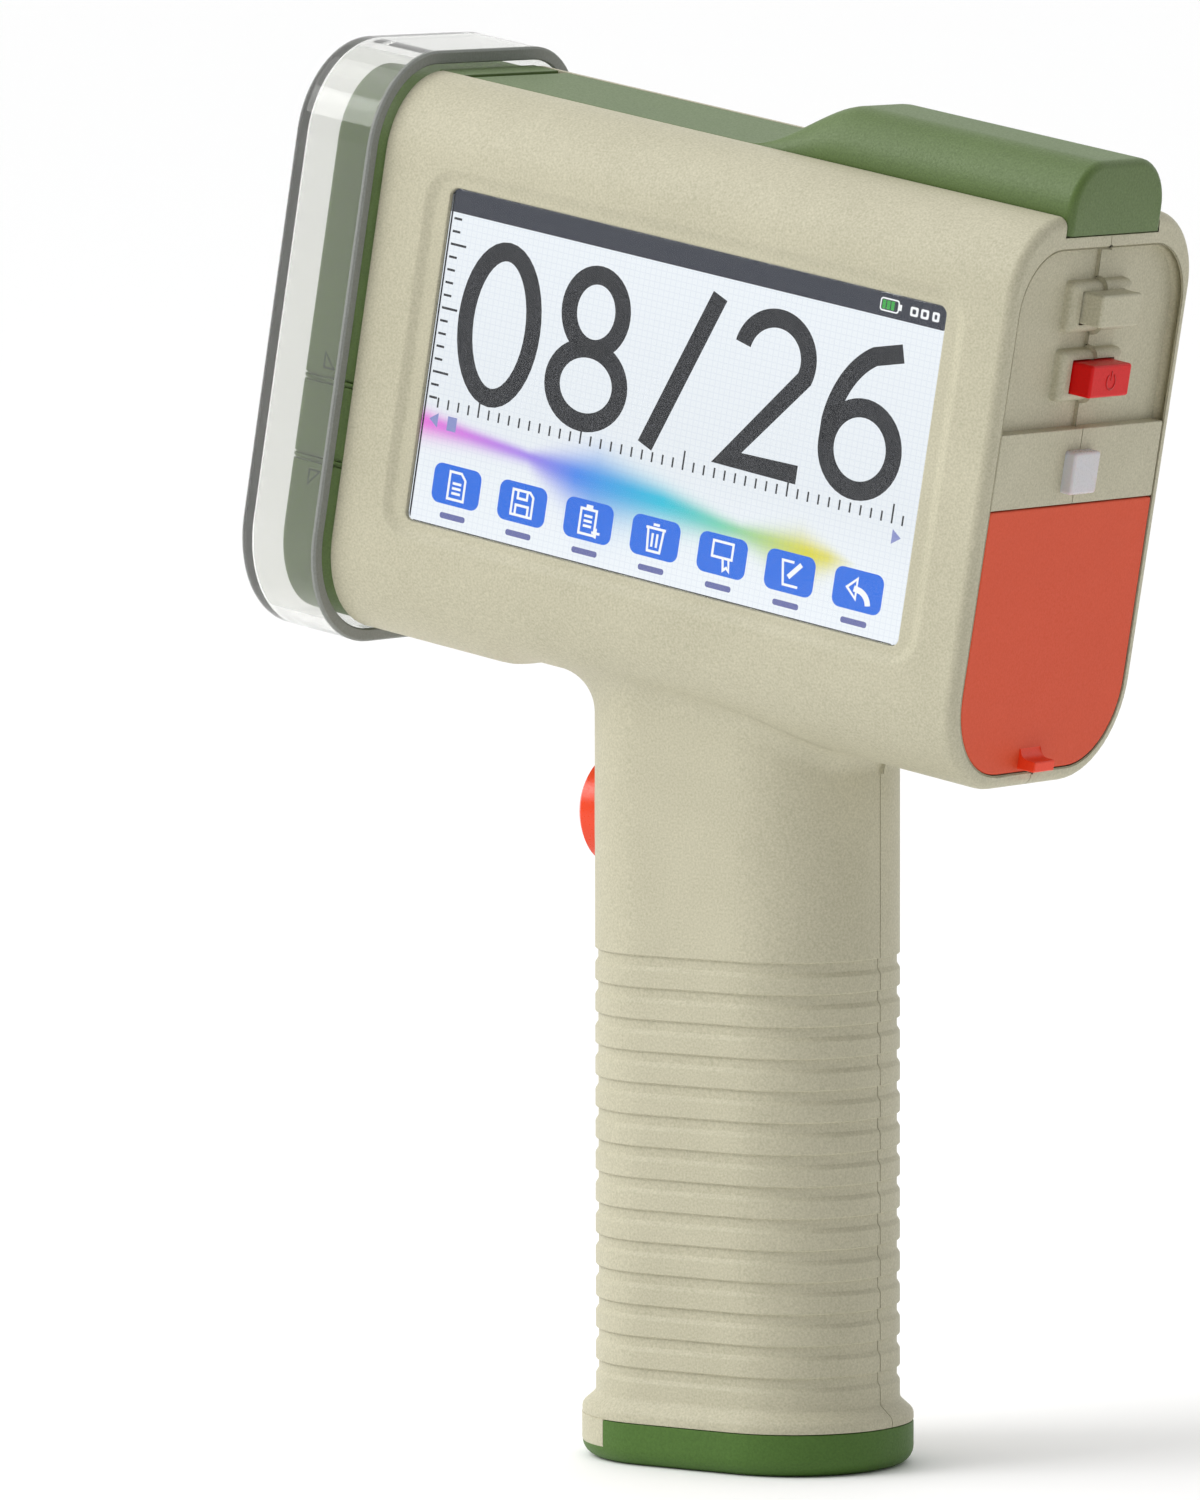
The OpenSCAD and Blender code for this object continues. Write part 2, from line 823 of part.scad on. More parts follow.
module display_panel() {
    color("#3a3c46")
        on_head()
            block([-screen_w / 2 - panel_side, -panel_face, -screen_h / 2 - panel_edge],
                  [screen_w / 2 + panel_side, -panel_back, screen_h / 2 + panel_edge]);
}

module display_gasket() {
    color("#1d1e20")
        on_head()
            difference() {
                block([-screen_w / 2 - panel_side, -inner_depth, -screen_h / 2 - panel_edge],
                      [screen_w / 2 + panel_side, -panel_face, screen_h / 2 + panel_edge]);
                block([-glass_w / 2 - 0.2, -half_depth, -glass_h / 2 - 0.2], [glass_w / 2 + 0.2, 0, glass_h / 2 + 0.2]);
            }
}

module display_cable() {
    color("#c98a3a")
        on_head()
            block([-20, -panel_back, -12], [0, -board_face, -11.6]);
}

// ---------- Boards ----------

module main_board() {
    color("#1f5a3c")
        on_head()
            difference() {
                block([board_low[0], -board_face, board_low[1]], [board_high[0], -board_back, board_high[1]]);
                for (p = standoffs)
                    cross_pin(p[0], p[1], -board_face - 1, -board_back + 1, screw_r);
            }
}

module board_chips() {
    chip_t = 1.2;
    color("#26282b")
        on_head() {
            block([-34, -board_back, -8], [-20, -board_back + chip_t, 6]);
            block([-12, -board_back, 4], [-4, -board_back + chip_t, 14]);
            block([-40, -board_back, 12], [-32, -board_back + chip_t, 20]);
        }
}

module board_screws() {
    color("#9a9da1")
        on_head()
            for (p = standoffs) {
                cross_pin(p[0], p[1], -board_face - 1.4, -board_face, screw_head_r);
                cross_pin(p[0], p[1], -board_face, -cradle_out, screw_r);
            }
}

// Board behind the rear panel, for the two switches and the status light
module button_board() {
    color("#1f5a3c")
        on_head()
            block([button_board_u - board_t, -board_face - 1, light_rise - 4.4],
                  [button_board_u, inner_depth - 0.2, power_rise + button_pitch + 3]);
}

module button_switches() {
    body = 6;
    color("#3b3d40")
        on_head()
            for (rise = [power_rise, power_rise + button_pitch]) {
                block([button_board_u, -body / 2, rise - body / 2], [button_board_u + 3.4, body / 2, rise + body / 2]);
                long_pin(button_board_u, button_board_u + 4.4, 0, rise, 1.6);
            }
}

module status_led() {
    color("#f2f0d8")
        on_head()
            block([button_board_u, -1.5, light_rise - 1.5], [button_board_u + 1.8, 1.5, light_rise + 1.5]);
}

module light_pipe() {
    color("#d9d6dc")
        on_head()
            block([button_board_u + 4, -light_w / 2, light_rise - light_h / 2],
                  [rear_reach + light_proud, light_w / 2, light_rise + light_h / 2]);
}

// ---------- Buttons ----------

// One push button: cap, stop flange behind the wall and stem to its switch
module push_button(rise) {
    flange = 1.2;
    on_head() {
        block([panel_in - fit_gap - flange, -button_w / 2, rise - button_h / 2],
              [rear_reach + button_proud, button_w / 2, rise + button_h / 2]);
        block([panel_in - fit_gap - flange, -button_w / 2 - flange, rise - button_h / 2 - flange],
              [panel_in - fit_gap, button_w / 2 + flange, rise + button_h / 2 + flange]);
        long_pin(button_board_u + 4.4 + button_travel + 0.1, panel_in - 1, 0, rise, 1.6);
    }
}

module mode_button() {
    color("#cfc8aa")
        push_button(power_rise + button_pitch);
}

module power_button() {
    color("#e8201a")
        push_button(power_rise);
}

// ---------- Ink cartridge and its cradle ----------

module cartridge_cradle() {
    back = cartridge_back + pull_gap;
    post_r = 2.8;
    color("#2d2f31")
        on_head() {
            difference() {
                block([-cradle_front, -cradle_out, cradle_low - inner_wall], [back + inner_wall, cradle_out, cradle_top]);
                block([-cradle_front - 1, -cradle_in, cradle_low], [back, cradle_in, cradle_top + 1]);
                block([back - 1, -cradle_out - 1, cartridge_low + cartridge_h / 2], [back + 5, cradle_out + 1, cradle_top + 1]);
            }
            for (p = standoffs) {
                difference() {
                    cross_pin(p[0], p[1], -board_back, -cradle_out + 0.5, post_r);
                    cross_pin(p[0], p[1], -board_face, -cradle_out, screw_r);
                }
                cross_pin(p[0], p[1], cradle_out - 0.5, inner_depth, post_r);
            }
        }
}

module ink_cartridge() {
    tail_half = 9;
    color("#17181a")
        on_head() {
            translate([0, cartridge_t / 2, 0])
                rotate([90, 0, 0])
                    linear_extrude(cartridge_t)
                        translate([-cartridge_front + cartridge_len / 2, 0])
                            round_rect(cartridge_len / 2, cartridge_low, cartridge_low + cartridge_h,
                                       cartridge_round, cartridge_round);
            block([-cartridge_front - snout_len, -snout_half, cartridge_low],
                  [-cartridge_front + cartridge_round, snout_half, cartridge_low + snout_h]);
            // tail that a finger pulls, under the lid's bulge
            translate([0, tail_half, 0])
                rotate([90, 0, 0])
                    linear_extrude(2 * tail_half)
                        polygon([for (p = [[-8, -6], [-4, -14], [5, -12], [16, 2], [14, 7.5]])
                            [cartridge_back + p[0], cartridge_low + cartridge_h + p[1]]]);
        }
}

module nozzle_plate() {
    color("#c98a3a")
        on_head()
            block([-cartridge_front - snout_len - 0.3, -5, -swath_drop - swath / 2 - 1],
                  [-cartridge_front - snout_len, 5, -swath_drop + swath / 2 + 1]);
}

module contact_board() {
    color("#1f5a3c")
        on_head()
            block([-nose_face + wall + 0.6, -9, cradle_low - inner_wall - board_t],
                  [-cradle_front + 6, 9, cradle_low - inner_wall]);
}

module contact_pins() {
    rows = 3;
    columns = 6;
    pitch = 2.4;
    color("#c9a24a")
        on_head()
            for (i = [0:rows - 1], j = [0:columns - 1])
                translate([-cartridge_front - snout_len / 2 + (i - 1) * pitch, (j - (columns - 1) / 2) * pitch,
                           cradle_low - inner_wall])
                    cylinder(h = pull_gap + inner_wall, r = 0.5);
}

// ---------- Trigger ----------

module trigger() {
    rise = trigger_proud - trigger_side;
    dome_r = (trigger_r * trigger_r + rise * rise) / (2 * rise);
    color("#f04a1a") {
        intersection() {
            translate([trigger_face - trigger_proud + dome_r, 0, trigger_z])
                sphere(dome_r);
            long_pin(trigger_face - trigger_proud, trigger_flange + flange_t, 0, trigger_z, trigger_r);
        }
        long_pin(trigger_flange, trigger_flange + flange_t, 0, trigger_z, trigger_r + 1);
        long_pin(trigger_flange, switch_front - trigger_travel - 0.4, 0, trigger_z, stem_r);
    }
}

// Cup that guides the trigger, with ears to the grip's sides and two arms that hold the switch
module trigger_guide() {
    ear = grip_width / 2 - wall;
    color("#2d2f31")
        difference() {
            union() {
                long_pin(guide_front, guide_back, 0, trigger_z, guide_r + cup_wall);
                block([guide_back - 2.4, -ear, trigger_z - 4], [guide_back, ear, trigger_z + 4]);
                for (side = [-1, 1])
                    block([guide_back - 1, side > 0 ? switch_half : -switch_half - cup_wall, trigger_z - 3],
                          [switch_front + 6, side > 0 ? switch_half + cup_wall : -switch_half, trigger_z + 3]);
            }
            long_pin(guide_front - 1, guide_back - cup_wall, 0, trigger_z, guide_r);
            long_pin(guide_front, guide_back + 1, 0, trigger_z, stem_r + fit_gap);
        }
}

// Return spring, drawn at its pressed length
module trigger_spring() {
    wire = 0.55;
    coil_r = stem_r + fit_gap + 1.2;
    rise = wire * 1.8;
    room = guide_back - cup_wall - trigger_flange - flange_t - trigger_travel - 0.3;
    turns = floor((room - 2 * wire) / rise) + 1;
    color("#b9bcc0")
        translate([guide_back - cup_wall - 2 * wire - (turns - 1) * rise, 0, trigger_z])
            rotate([0, 90, 0])
                rotate_extrude()
                    for (i = [0:turns - 1])
                        translate([coil_r, wire + i * rise])
                            circle(wire, $fn = 24);
}

module trigger_switch() {
    color("#26282b")
        block([switch_front, -switch_half, trigger_z - 3.2], [switch_front + 6, switch_half, trigger_z + 3.2]);
}

// ---------- Foot ----------

module foot_cap() {
    floor_t = 2.4;
    plug_wall = 1.8;
    inner_len = grip_len - 2 * wall - 2 * fit_gap;
    inner_width = grip_width - 2 * wall - 2 * fit_gap;
    color("#4f6e34")
        difference() {
            union() {
                difference() {
                    linear_extrude(foot_height)
                        grip_outline(foot_len, foot_width, foot_radius);
                    foot_tongue();
                    translate([0, 0, floor_t])
                        linear_extrude(foot_height)
                            grip_outline(inner_len, inner_width, grip_inner - fit_gap);
                }
                translate([0, 0, floor_t - 1])
                    linear_extrude(foot_height + 4 - floor_t + 1)
                        difference() {
                            grip_outline(inner_len, inner_width, grip_inner - fit_gap);
                            grip_outline(inner_len - 2 * plug_wall, inner_width - 2 * plug_wall,
                                         grip_inner - fit_gap - plug_wall);
                        }
                for (side = [-1, 1])
                    translate([0, side * foot_boss_y, 0])
                        cylinder(h = foot_boss_z, r = 3);
            }
            for (side = [-1, 1])
                translate([0, side * foot_boss_y, -1]) {
                    cylinder(h = foot_boss_z + 2, r = screw_r + 0.1);
                    cylinder(h = foot_screw_sink + 1, r = screw_head_r + 0.2);
                }
        }
}

module foot_screws() {
    color("#8c8f93")
        for (side = [-1, 1])
            translate([0, side * foot_boss_y, 0]) {
                translate([0, 0, foot_screw_sink - 1.6])
                    cylinder(h = 1.6, r = screw_head_r);
                translate([0, 0, foot_screw_sink])
                    cylinder(h = foot_boss_z + 8 - foot_screw_sink, r = screw_r);
            }
}

module shell_screws() {
    color("#8c8f93") {
        on_head()
            for (p = head_bosses)
                shell_screw(p, half_depth - screw_sink);
        for (p = grip_bosses)
            shell_screw(p, grip_width / 2 - screw_sink);
    }
}

// One shell screw, its head's underside at depth y
module shell_screw(p, y) {
    head_t = 2;
    grip_in = 8;
    cross_pin(p[0], p[1], y, y + head_t, screw_head_r);
    cross_pin(p[0], p[1], -grip_in, y, screw_r);
}

front_shell();
back_shell();
nose_frame();
nose_cover();
cartridge_lid();
lid_hinge_pin();
battery_door();
door_hinge_pin();
touch_glass();
display_panel();
display_gasket();
display_cable();
main_board();
board_chips();
board_screws();
cartridge_cradle();
ink_cartridge();
nozzle_plate();
contact_board();
contact_pins();
encoder_tyre();
encoder_hub();
encoder_disc();
encoder_axle();
encoder_sensor();
guide_tyre();
guide_hub();
guide_axle();
mode_button();
power_button();
button_board();
button_switches();
status_led();
light_pipe();
battery_tray();
battery_pack();
battery_contacts();
usb_port();
trigger();
trigger_guide();
trigger_spring();
trigger_switch();
foot_cap();
foot_screws();
shell_screws();
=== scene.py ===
"""Looks of the handheld date coder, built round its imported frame.

Lengths are millimetres until a mesh is written. The head's own frame is (u rearwards, v across, w up).
"""

import json
import logging
import math
from collections.abc import Callable
from dataclasses import dataclass, field
from enum import Enum

import bmesh
import bpy
import numpy as np
from mathutils import Matrix, Vector
from mathutils.geometry import delaunay_2d_cdt

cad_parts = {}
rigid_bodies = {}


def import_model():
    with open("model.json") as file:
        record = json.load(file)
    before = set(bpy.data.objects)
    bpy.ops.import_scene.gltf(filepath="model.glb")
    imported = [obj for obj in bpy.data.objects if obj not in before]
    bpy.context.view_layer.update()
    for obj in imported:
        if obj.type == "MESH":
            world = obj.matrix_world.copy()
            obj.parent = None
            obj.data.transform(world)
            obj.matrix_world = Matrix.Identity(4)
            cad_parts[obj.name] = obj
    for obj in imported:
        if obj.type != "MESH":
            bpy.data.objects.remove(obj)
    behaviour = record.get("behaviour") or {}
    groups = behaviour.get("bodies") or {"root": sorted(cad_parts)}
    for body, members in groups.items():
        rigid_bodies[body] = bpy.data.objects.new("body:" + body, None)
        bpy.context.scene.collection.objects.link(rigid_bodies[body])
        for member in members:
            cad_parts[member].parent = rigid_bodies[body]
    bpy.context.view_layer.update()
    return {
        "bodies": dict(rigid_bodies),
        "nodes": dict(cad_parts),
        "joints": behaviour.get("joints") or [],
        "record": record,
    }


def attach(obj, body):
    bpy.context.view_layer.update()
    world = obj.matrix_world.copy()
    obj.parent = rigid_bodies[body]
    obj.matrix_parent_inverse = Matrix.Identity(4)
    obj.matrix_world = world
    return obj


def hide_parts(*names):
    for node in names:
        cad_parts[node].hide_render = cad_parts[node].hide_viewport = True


LOG = logging.getLogger("date_coder")
MM = 0.001
LAYER = 0.02  # how far each layer of page marks stands off the one before
PAGE_POWER = 1.0  # brightness of the lit page

Lift = Callable[..., np.ndarray]  # lays plane points in space, at a level where one is given
Place = Callable[[np.ndarray], np.ndarray]  # moves points into part coordinates


class Body(Enum):
    """Bodies of the mechanism."""

    CASING = "printer_body"
    COVER = "cover"
    LID = "lid"
    DOOR = "door"
    ENCODER = "encoder_roller"
    GUIDE = "guide_roller"
    MODE = "mode_button"
    POWER = "power_button"
    TRIGGER = "trigger"


# ---------- Plane curves ----------


def arc(centre: tuple[float, float], radius: float, start: float, stop: float, n: int) -> np.ndarray:
    """Points of a circular arc.

    Args:
        centre: middle of the arc.
        radius: its radius.
        start, stop: angles in degrees, anticlockwise.
        n: number of steps.

    Returns:
        (n + 1, 2) array.
    """
    t = np.radians(np.linspace(start, stop, n + 1))
    return np.stack([centre[0] + radius * np.cos(t), centre[1] + radius * np.sin(t)], 1)


def round_rect(half: float, low: float, high: float, r_low: float, r_high: float, grow: float = 0.0,
               n: int = 12, shift: float = 0.0) -> np.ndarray:
    """Closed loop of a rectangle with round corners, anticlockwise from its lower right corner.

    Args:
        half: half width.
        low, high: lower and upper edge.
        r_low, r_high: corner radii below and above.
        grow: offset outwards of the whole loop; its corners keep their middles.
        n: steps per corner.
        shift: sideways shift.

    Returns:
        (4 (n + 1), 2) array.
    """
    a, b = max(r_low + grow, 0.02), max(r_high + grow, 0.02)
    x, y0, y1 = half + grow, low - grow, high + grow
    loop = np.concatenate([arc((x - a, y0 + a), a, -90, 0, n), arc((x - b, y1 - b), b, 0, 90, n),
                           arc((b - x, y1 - b), b, 90, 180, n), arc((a - x, y0 + a), a, 180, 270, n)])
    return loop + (shift, 0.0)


def circle(centre: tuple[float, float], radius: float, n: int = 40) -> np.ndarray:
    """Closed loop of a circle."""
    return arc(centre, radius, 0, 360, n)[:-1]


def inside(loop: np.ndarray, points: np.ndarray) -> np.ndarray:
    """Which points lie in a loop, by the even-odd rule."""
    a, b = loop[None], np.roll(loop, -1, 0)[None]
    p = points[:, None]
    crosses = (a[..., 1] > p[..., 1]) != (b[..., 1] > p[..., 1])
    rise = np.where(np.abs(b[..., 1] - a[..., 1]) < 1e-12, 1e-12, b[..., 1] - a[..., 1])
    at = a[..., 0] + (p[..., 1] - a[..., 1]) * (b[..., 0] - a[..., 0]) / rise
    return (crosses & (p[..., 0] < at)).sum(1) % 2 == 1


def fill(outer: np.ndarray, holes: list[np.ndarray]) -> tuple[np.ndarray, np.ndarray]:
    """Triangles of the flat region inside an outer loop and outside its holes."""
    loops = [outer, *holes]
    points = np.concatenate(loops)
    starts = np.cumsum([0] + [len(q) for q in loops[:-1]])
    edges = np.concatenate([np.stack([s + np.arange(len(q)), s + np.roll(np.arange(len(q)), -1)], 1)
                            for s, q in zip(starts, loops)])
    made = delaunay_2d_cdt([Vector(p) for p in points.tolist()], edges.tolist(), [], 0, 1e-7)
    flat = np.array([v[:] for v in made[0]])
    tris = np.array([f for f in made[2] if len(f) == 3])
    middle = flat[tris].mean(1)
    keep = inside(outer, middle)
    for hole in holes:
        keep &= ~inside(hole, middle)
    return flat, tris[keep]


def roll(radius: float, n: int = 6) -> np.ndarray:
    """Quarter-round edge as (advance, inset) pairs, from the side face round to the end face."""
    t = np.radians(np.linspace(0, 90, n + 1))
    return np.stack([radius * np.sin(t) - radius, radius - radius * np.cos(t)], 1)


# ---------- Frames and meshes ----------


@dataclass(frozen=True)
class Head:
    """The tilted head's frame on the upright grip, and its outline across."""

    tilt: float = 10.0
    x: float = 2.7
    z: float = 169.0
    half: float = 26.0
    top: float = 43.2
    drop: float = -48.5
    r_top: float = 12.5
    r_low: float = 16.0

    def outline(self, grow: float, n: int) -> np.ndarray:
        """Loop of the head's outline in (v, w), grown by an offset, n steps a corner."""
        return round_rect(self.half, self.drop, self.top, self.r_low, self.r_top, grow, n)

    def place(self, p: np.ndarray) -> np.ndarray:
        """Part coordinates of points given as (u, v, w)."""
        c, s = math.cos(math.radians(self.tilt)), math.sin(math.radians(self.tilt))
        u, v, w = p[..., 0], p[..., 1], p[..., 2]
        return np.stack([self.x + u * c + w * s, v, self.z - u * s + w * c], -1)

    def local(self, p: np.ndarray) -> np.ndarray:
        """(u, v, w) of points given in part coordinates."""
        c, s = math.cos(math.radians(self.tilt)), math.sin(math.radians(self.tilt))
        x, z = p[..., 0] - self.x, p[..., 2] - self.z
        return np.stack([x * c - z * s, p[..., 1], x * s + z * c], -1)


HEAD = Head()


@dataclass
class Skin:
    """Surface patches of one piece, gathered in millimetres and written as one mesh."""

    name: str
    points: list[np.ndarray] = field(default_factory=list)
    faces: list[np.ndarray] = field(default_factory=list)
    count: int = 0

    def _add(self, points: np.ndarray, faces: np.ndarray) -> None:
        """Takes in points and faces (three or four corners a row)."""
        if faces.shape[1] == 3:
            faces = np.concatenate([faces, np.full((len(faces), 1), -self.count - 1)], 1)
        self.points.append(points.reshape(-1, 3))
        self.faces.append(faces + self.count)
        self.count += len(self.points[-1])

    def grid(self, p: np.ndarray, closed: bool = False) -> None:
        """Surface through rows of points; closed joins each row's end to its start.

        Args:
            p: (rows, columns, 3) points.
            closed: whether the columns run round.
        """
        rows, cols = p.shape[:2]
        r, c = np.meshgrid(np.arange(rows - 1), np.arange(cols if closed else cols - 1), indexing="ij")
        d = (c + 1) % cols
        quads = np.stack([r * cols + c, r * cols + d, (r + 1) * cols + d, (r + 1) * cols + c], -1)
        self._add(p, quads.reshape(-1, 4))

    def flat(self, outer: np.ndarray, holes: list[np.ndarray], lift: Lift) -> None:
        """Flat face inside a loop and outside its holes; lift turns (k, 2) points into (k, 3)."""
        points, tris = fill(outer, holes)
        self._add(lift(points), tris)

    def sweep(self, loops: list[np.ndarray], lift: Lift, levels: list[float], closed: bool = True) -> None:
        """Surface through one loop at each level; lift takes (k, 2) points and a level."""
        self.grid(np.stack([lift(q, level) for q, level in zip(loops, levels)]), closed)

    def take(self, other: "Skin", place: Place) -> None:
        """Takes in another skin's patches, each point moved by place."""
        faces = np.concatenate(other.faces)
        self.points.append(place(np.concatenate(other.points)))
        self.faces.append(np.where(faces < 0, -1, faces + self.count))
        self.count += len(self.points[-1])

    def drop(self, centre: np.ndarray, radius: float) -> None:
        """Leaves out the faces whose middles lie within a ball."""
        pts, faces = np.concatenate(self.points), np.concatenate(self.faces)
        third = np.where(faces[:, 3:4] < 0, faces[:, :1], faces[:, 3:4])
        middle = pts[np.concatenate([faces[:, :3], third], 1)].mean(1)
        far = np.linalg.norm(middle - centre, axis=1) > radius
        self.points, self.faces = [pts], [faces[far]]

    def mesh(self, place: Place = HEAD.place, weld: float = 0.004, cut: tuple[float, float] | None = None,
             sharp: float = 32.0) -> bpy.types.Mesh:
        """The mesh, in metres.

        Args:
            place: turns the gathered points into part coordinates.
            weld: points nearer than this become one.
            cut: (level, side): keeps only what lies on one side of the plane y = level, and turns the
                edge inwards so that the seam reads as a real gap.
            sharp: edges that turn by more than this, in degrees, are shaded sharp.

        Returns:
            The new mesh.
        """
        faces = np.concatenate(self.faces)
        tri = faces[:, 3] < 0
        rows = faces[~tri].tolist() + faces[tri][:, :3].tolist()
        scratch = bpy.data.meshes.new(self.name)
        scratch.from_pydata(place(np.concatenate(self.points)).tolist(), [], rows)
        bm = bmesh.new()
        bm.from_mesh(scratch)
        bmesh.ops.remove_doubles(bm, verts=bm.verts, dist=weld)
        bmesh.ops.dissolve_degenerate(bm, edges=bm.edges, dist=weld * 0.5)
        bmesh.ops.recalc_face_normals(bm, faces=bm.faces)
        if cut is not None:
            level, side = cut
            bmesh.ops.bisect_plane(bm, geom=bm.verts[:] + bm.edges[:] + bm.faces[:], dist=1e-5,
                                   plane_co=(0, level, 0), plane_no=(0, -side, 0), clear_outer=True)
            bm.normal_update()
            near, lip = 2e-4, 0.6
            rim = [e for e in bm.edges if e.is_boundary and all(abs(v.co.y - level) < near for v in e.verts)]
            inward = {v: -v.normal.copy() for e in rim for v in e.verts}
            made = bmesh.ops.extrude_edge_only(bm, edges=rim)["geom"]
            old = {tuple(round(x, 4) for x in v.co): n for v, n in inward.items()}
            for v in (g for g in made if isinstance(g, bmesh.types.BMVert)):
                n = old.get(tuple(round(x, 4) for x in v.co), Vector((0, 0, 0)))
                v.co += Vector((n.x, 0, n.z)) * lip
        bmesh.ops.scale(bm, vec=(MM, MM, MM), verts=bm.verts)
        bm.to_mesh(scratch)
        bm.free()
        scratch.shade_smooth()
        scratch.set_sharp_from_angle(angle=math.radians(sharp))
        return scratch


@dataclass(frozen=True)
class Dress:
    """What a finished piece stands for and how it is painted."""

    body: Body
    slot: str
    material: bpy.types.Material
    nodes: tuple[str, ...] = ()


def put(mesh: bpy.types.Mesh, dress: Dress, solid: float = 0.0) -> None:
    """Adds a piece to the scene, riding on its body.

    Args:
        mesh: its mesh, in metres, in the row frame.
        dress: its body, slot, material and the CAD nodes that it stands for.
        solid: wall thickness to grow inwards, mm.
    """
    obj = bpy.data.objects.new(mesh.name, mesh)
    bpy.context.scene.collection.objects.link(obj)
    mesh.materials.append(dress.material)
    if solid:
        wall = obj.modifiers.new("wall", "SOLIDIFY")
        wall.thickness, wall.offset, wall.use_even_offset = solid * MM, -1, True
    even = obj.modifiers.new("even", "WEIGHTED_NORMAL")
    even.keep_sharp = True
    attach(obj, dress.body.value)
    if dress.nodes:
        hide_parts(*dress.nodes)
    LOG.info("%s: %d faces", obj.name, len(mesh.polygons))


def across(v: float) -> Lift:
    """Lift that lays (u, w) points at depth v."""
    return lambda q, level=v: np.stack([q[:, 0], np.full(len(q), level), q[:, 1]], 1)


def along(u: float = 0.0) -> Lift:
    """Lift that lays (v, w) points at reach u."""
    return lambda q, level=u: np.stack([np.full(len(q), level), q[:, 0], q[:, 1]], 1)


def level_xy(z: float = 0.0) -> Lift:
    """Lift that lays (x, y) points at height z."""
    return lambda q, level=z: np.stack([q[:, 0], q[:, 1], np.full(len(q), level)], 1)


def upright(p: np.ndarray) -> np.ndarray:
    """Part coordinates of points that are already in them."""
    return p


# ---------- Finishes ----------


def linear(code: str, alpha: float = 1.0) -> tuple[float, float, float, float]:
    """Linear colour of a hex sRGB code."""
    c = np.array([int(code[i:i + 2], 16) for i in (1, 3, 5)]) / 255
    c = np.where(c <= 0.04045, c / 12.92, ((c + 0.055) / 1.055) ** 2.4)
    return (*c.tolist(), alpha)


@dataclass
class Nodes:
    """A material's node tree being built."""

    name: str

    def __post_init__(self) -> None:
        """Makes the material and finds its shader."""
        self.material = bpy.data.materials.new(self.name)
        self.material.use_nodes = True
        self.tree = self.material.node_tree
        self.shader = self.tree.nodes["Principled BSDF"]

    def add(self, kind: str, inputs: dict | None = None, **props: str) -> bpy.types.Node:
        """Adds a node; an input given as a socket is linked, anything else is set."""
        node = self.tree.nodes.new(kind)
        for key, value in props.items():
            setattr(node, key, value)
        for key, value in (inputs or {}).items():
            if isinstance(value, bpy.types.NodeSocket):
                self.tree.links.new(value, node.inputs[key])
            else:
                node.inputs[key].default_value = value
        return node

    def link(self, output: bpy.types.NodeSocket, name: str) -> None:
        """Links a socket to one of the shader's inputs."""
        self.tree.links.new(output, self.shader.inputs[name])

    def fix(self, **values: float | tuple[float, ...]) -> None:
        """Sets constants on the shader, by input name with _ for a space."""
        for key, value in values.items():
            self.shader.inputs[key.replace("_", " ")].default_value = value

    def maths(self, operation: str, *values: bpy.types.NodeSocket | float) -> bpy.types.NodeSocket:
        """Result of a sum on sockets or numbers."""
        return self.add("ShaderNodeMath", dict(enumerate(values)), operation=operation).outputs[0]

    def glow(self, colour: bpy.types.NodeSocket, power: float) -> None:
        """Turns the shader into a near-black panel that gives off its own light."""
        self.link(colour, "Emission Color")
        self.fix(Base_Color=(0.01, 0.01, 0.012, 1), Roughness=0.6, Specular_IOR_Level=0.0,
                 Emission_Strength=power)

    def object_noise(self, size_mm: float, detail: float = 2.0) -> bpy.types.NodeSocket:
        """Noise whose cells are about size_mm wide, in object coordinates."""
        coord = self.add("ShaderNodeTexCoord")
        noise = self.add("ShaderNodeTexNoise", {"Vector": coord.outputs["Object"], "Scale": 1000 / size_mm,
                                                "Detail": detail, "Roughness": 0.55})
        return noise.outputs["Fac"]

    def spread(self, value: bpy.types.NodeSocket, low: float, high: float) -> bpy.types.NodeSocket:
        """Maps the middle of a noise's range to low … high."""
        node = self.add("ShaderNodeMapRange", {"Value": value, "From Min": 0.3, "From Max": 0.7,
                                               "To Min": low, "To Max": high})
        return node.outputs["Result"]

    def tint(self, code: str, other: str, factor: bpy.types.NodeSocket) -> bpy.types.NodeSocket:
        """Colour between two hex codes."""
        node = self.add("ShaderNodeMix", data_type="RGBA")
        node.inputs[6].default_value, node.inputs[7].default_value = linear(code), linear(other)
        self.tree.links.new(factor, node.inputs[0])
        return node.outputs[2]


@dataclass(frozen=True)
class Moulded:
    """Injection-moulded plastic: fine spark-eroded grain, faint flow shading, soft sheen."""

    name: str
    base: str
    shade: str
    rough: float = 0.5
    grain: float = 0.36
    depth: float = 0.014
    gloss: float = 0.32
    soft: float = 0.0

    def build(self) -> bpy.types.Material:
        """The material."""
        n = Nodes(self.name)
        grain = n.object_noise(self.grain, 3.0)
        cloud = n.object_noise(14.0, 2.0)
        speck = n.maths("ADD", n.spread(grain, 0.0, 0.8), n.spread(cloud, 0.0, 0.2))
        n.link(n.tint(self.base, self.shade, speck), "Base Color")
        n.link(n.spread(grain, self.rough - 0.05, self.rough + 0.07), "Roughness")
        bump = n.add("ShaderNodeBump", {"Height": grain, "Strength": 0.55, "Distance": self.depth * MM * 4})
        n.link(bump.outputs["Normal"], "Normal")
        n.fix(IOR=1.5, Specular_IOR_Level=self.gloss)
        if self.soft:
            n.fix(Subsurface_Weight=self.soft, Subsurface_Scale=0.002)
        return n.material


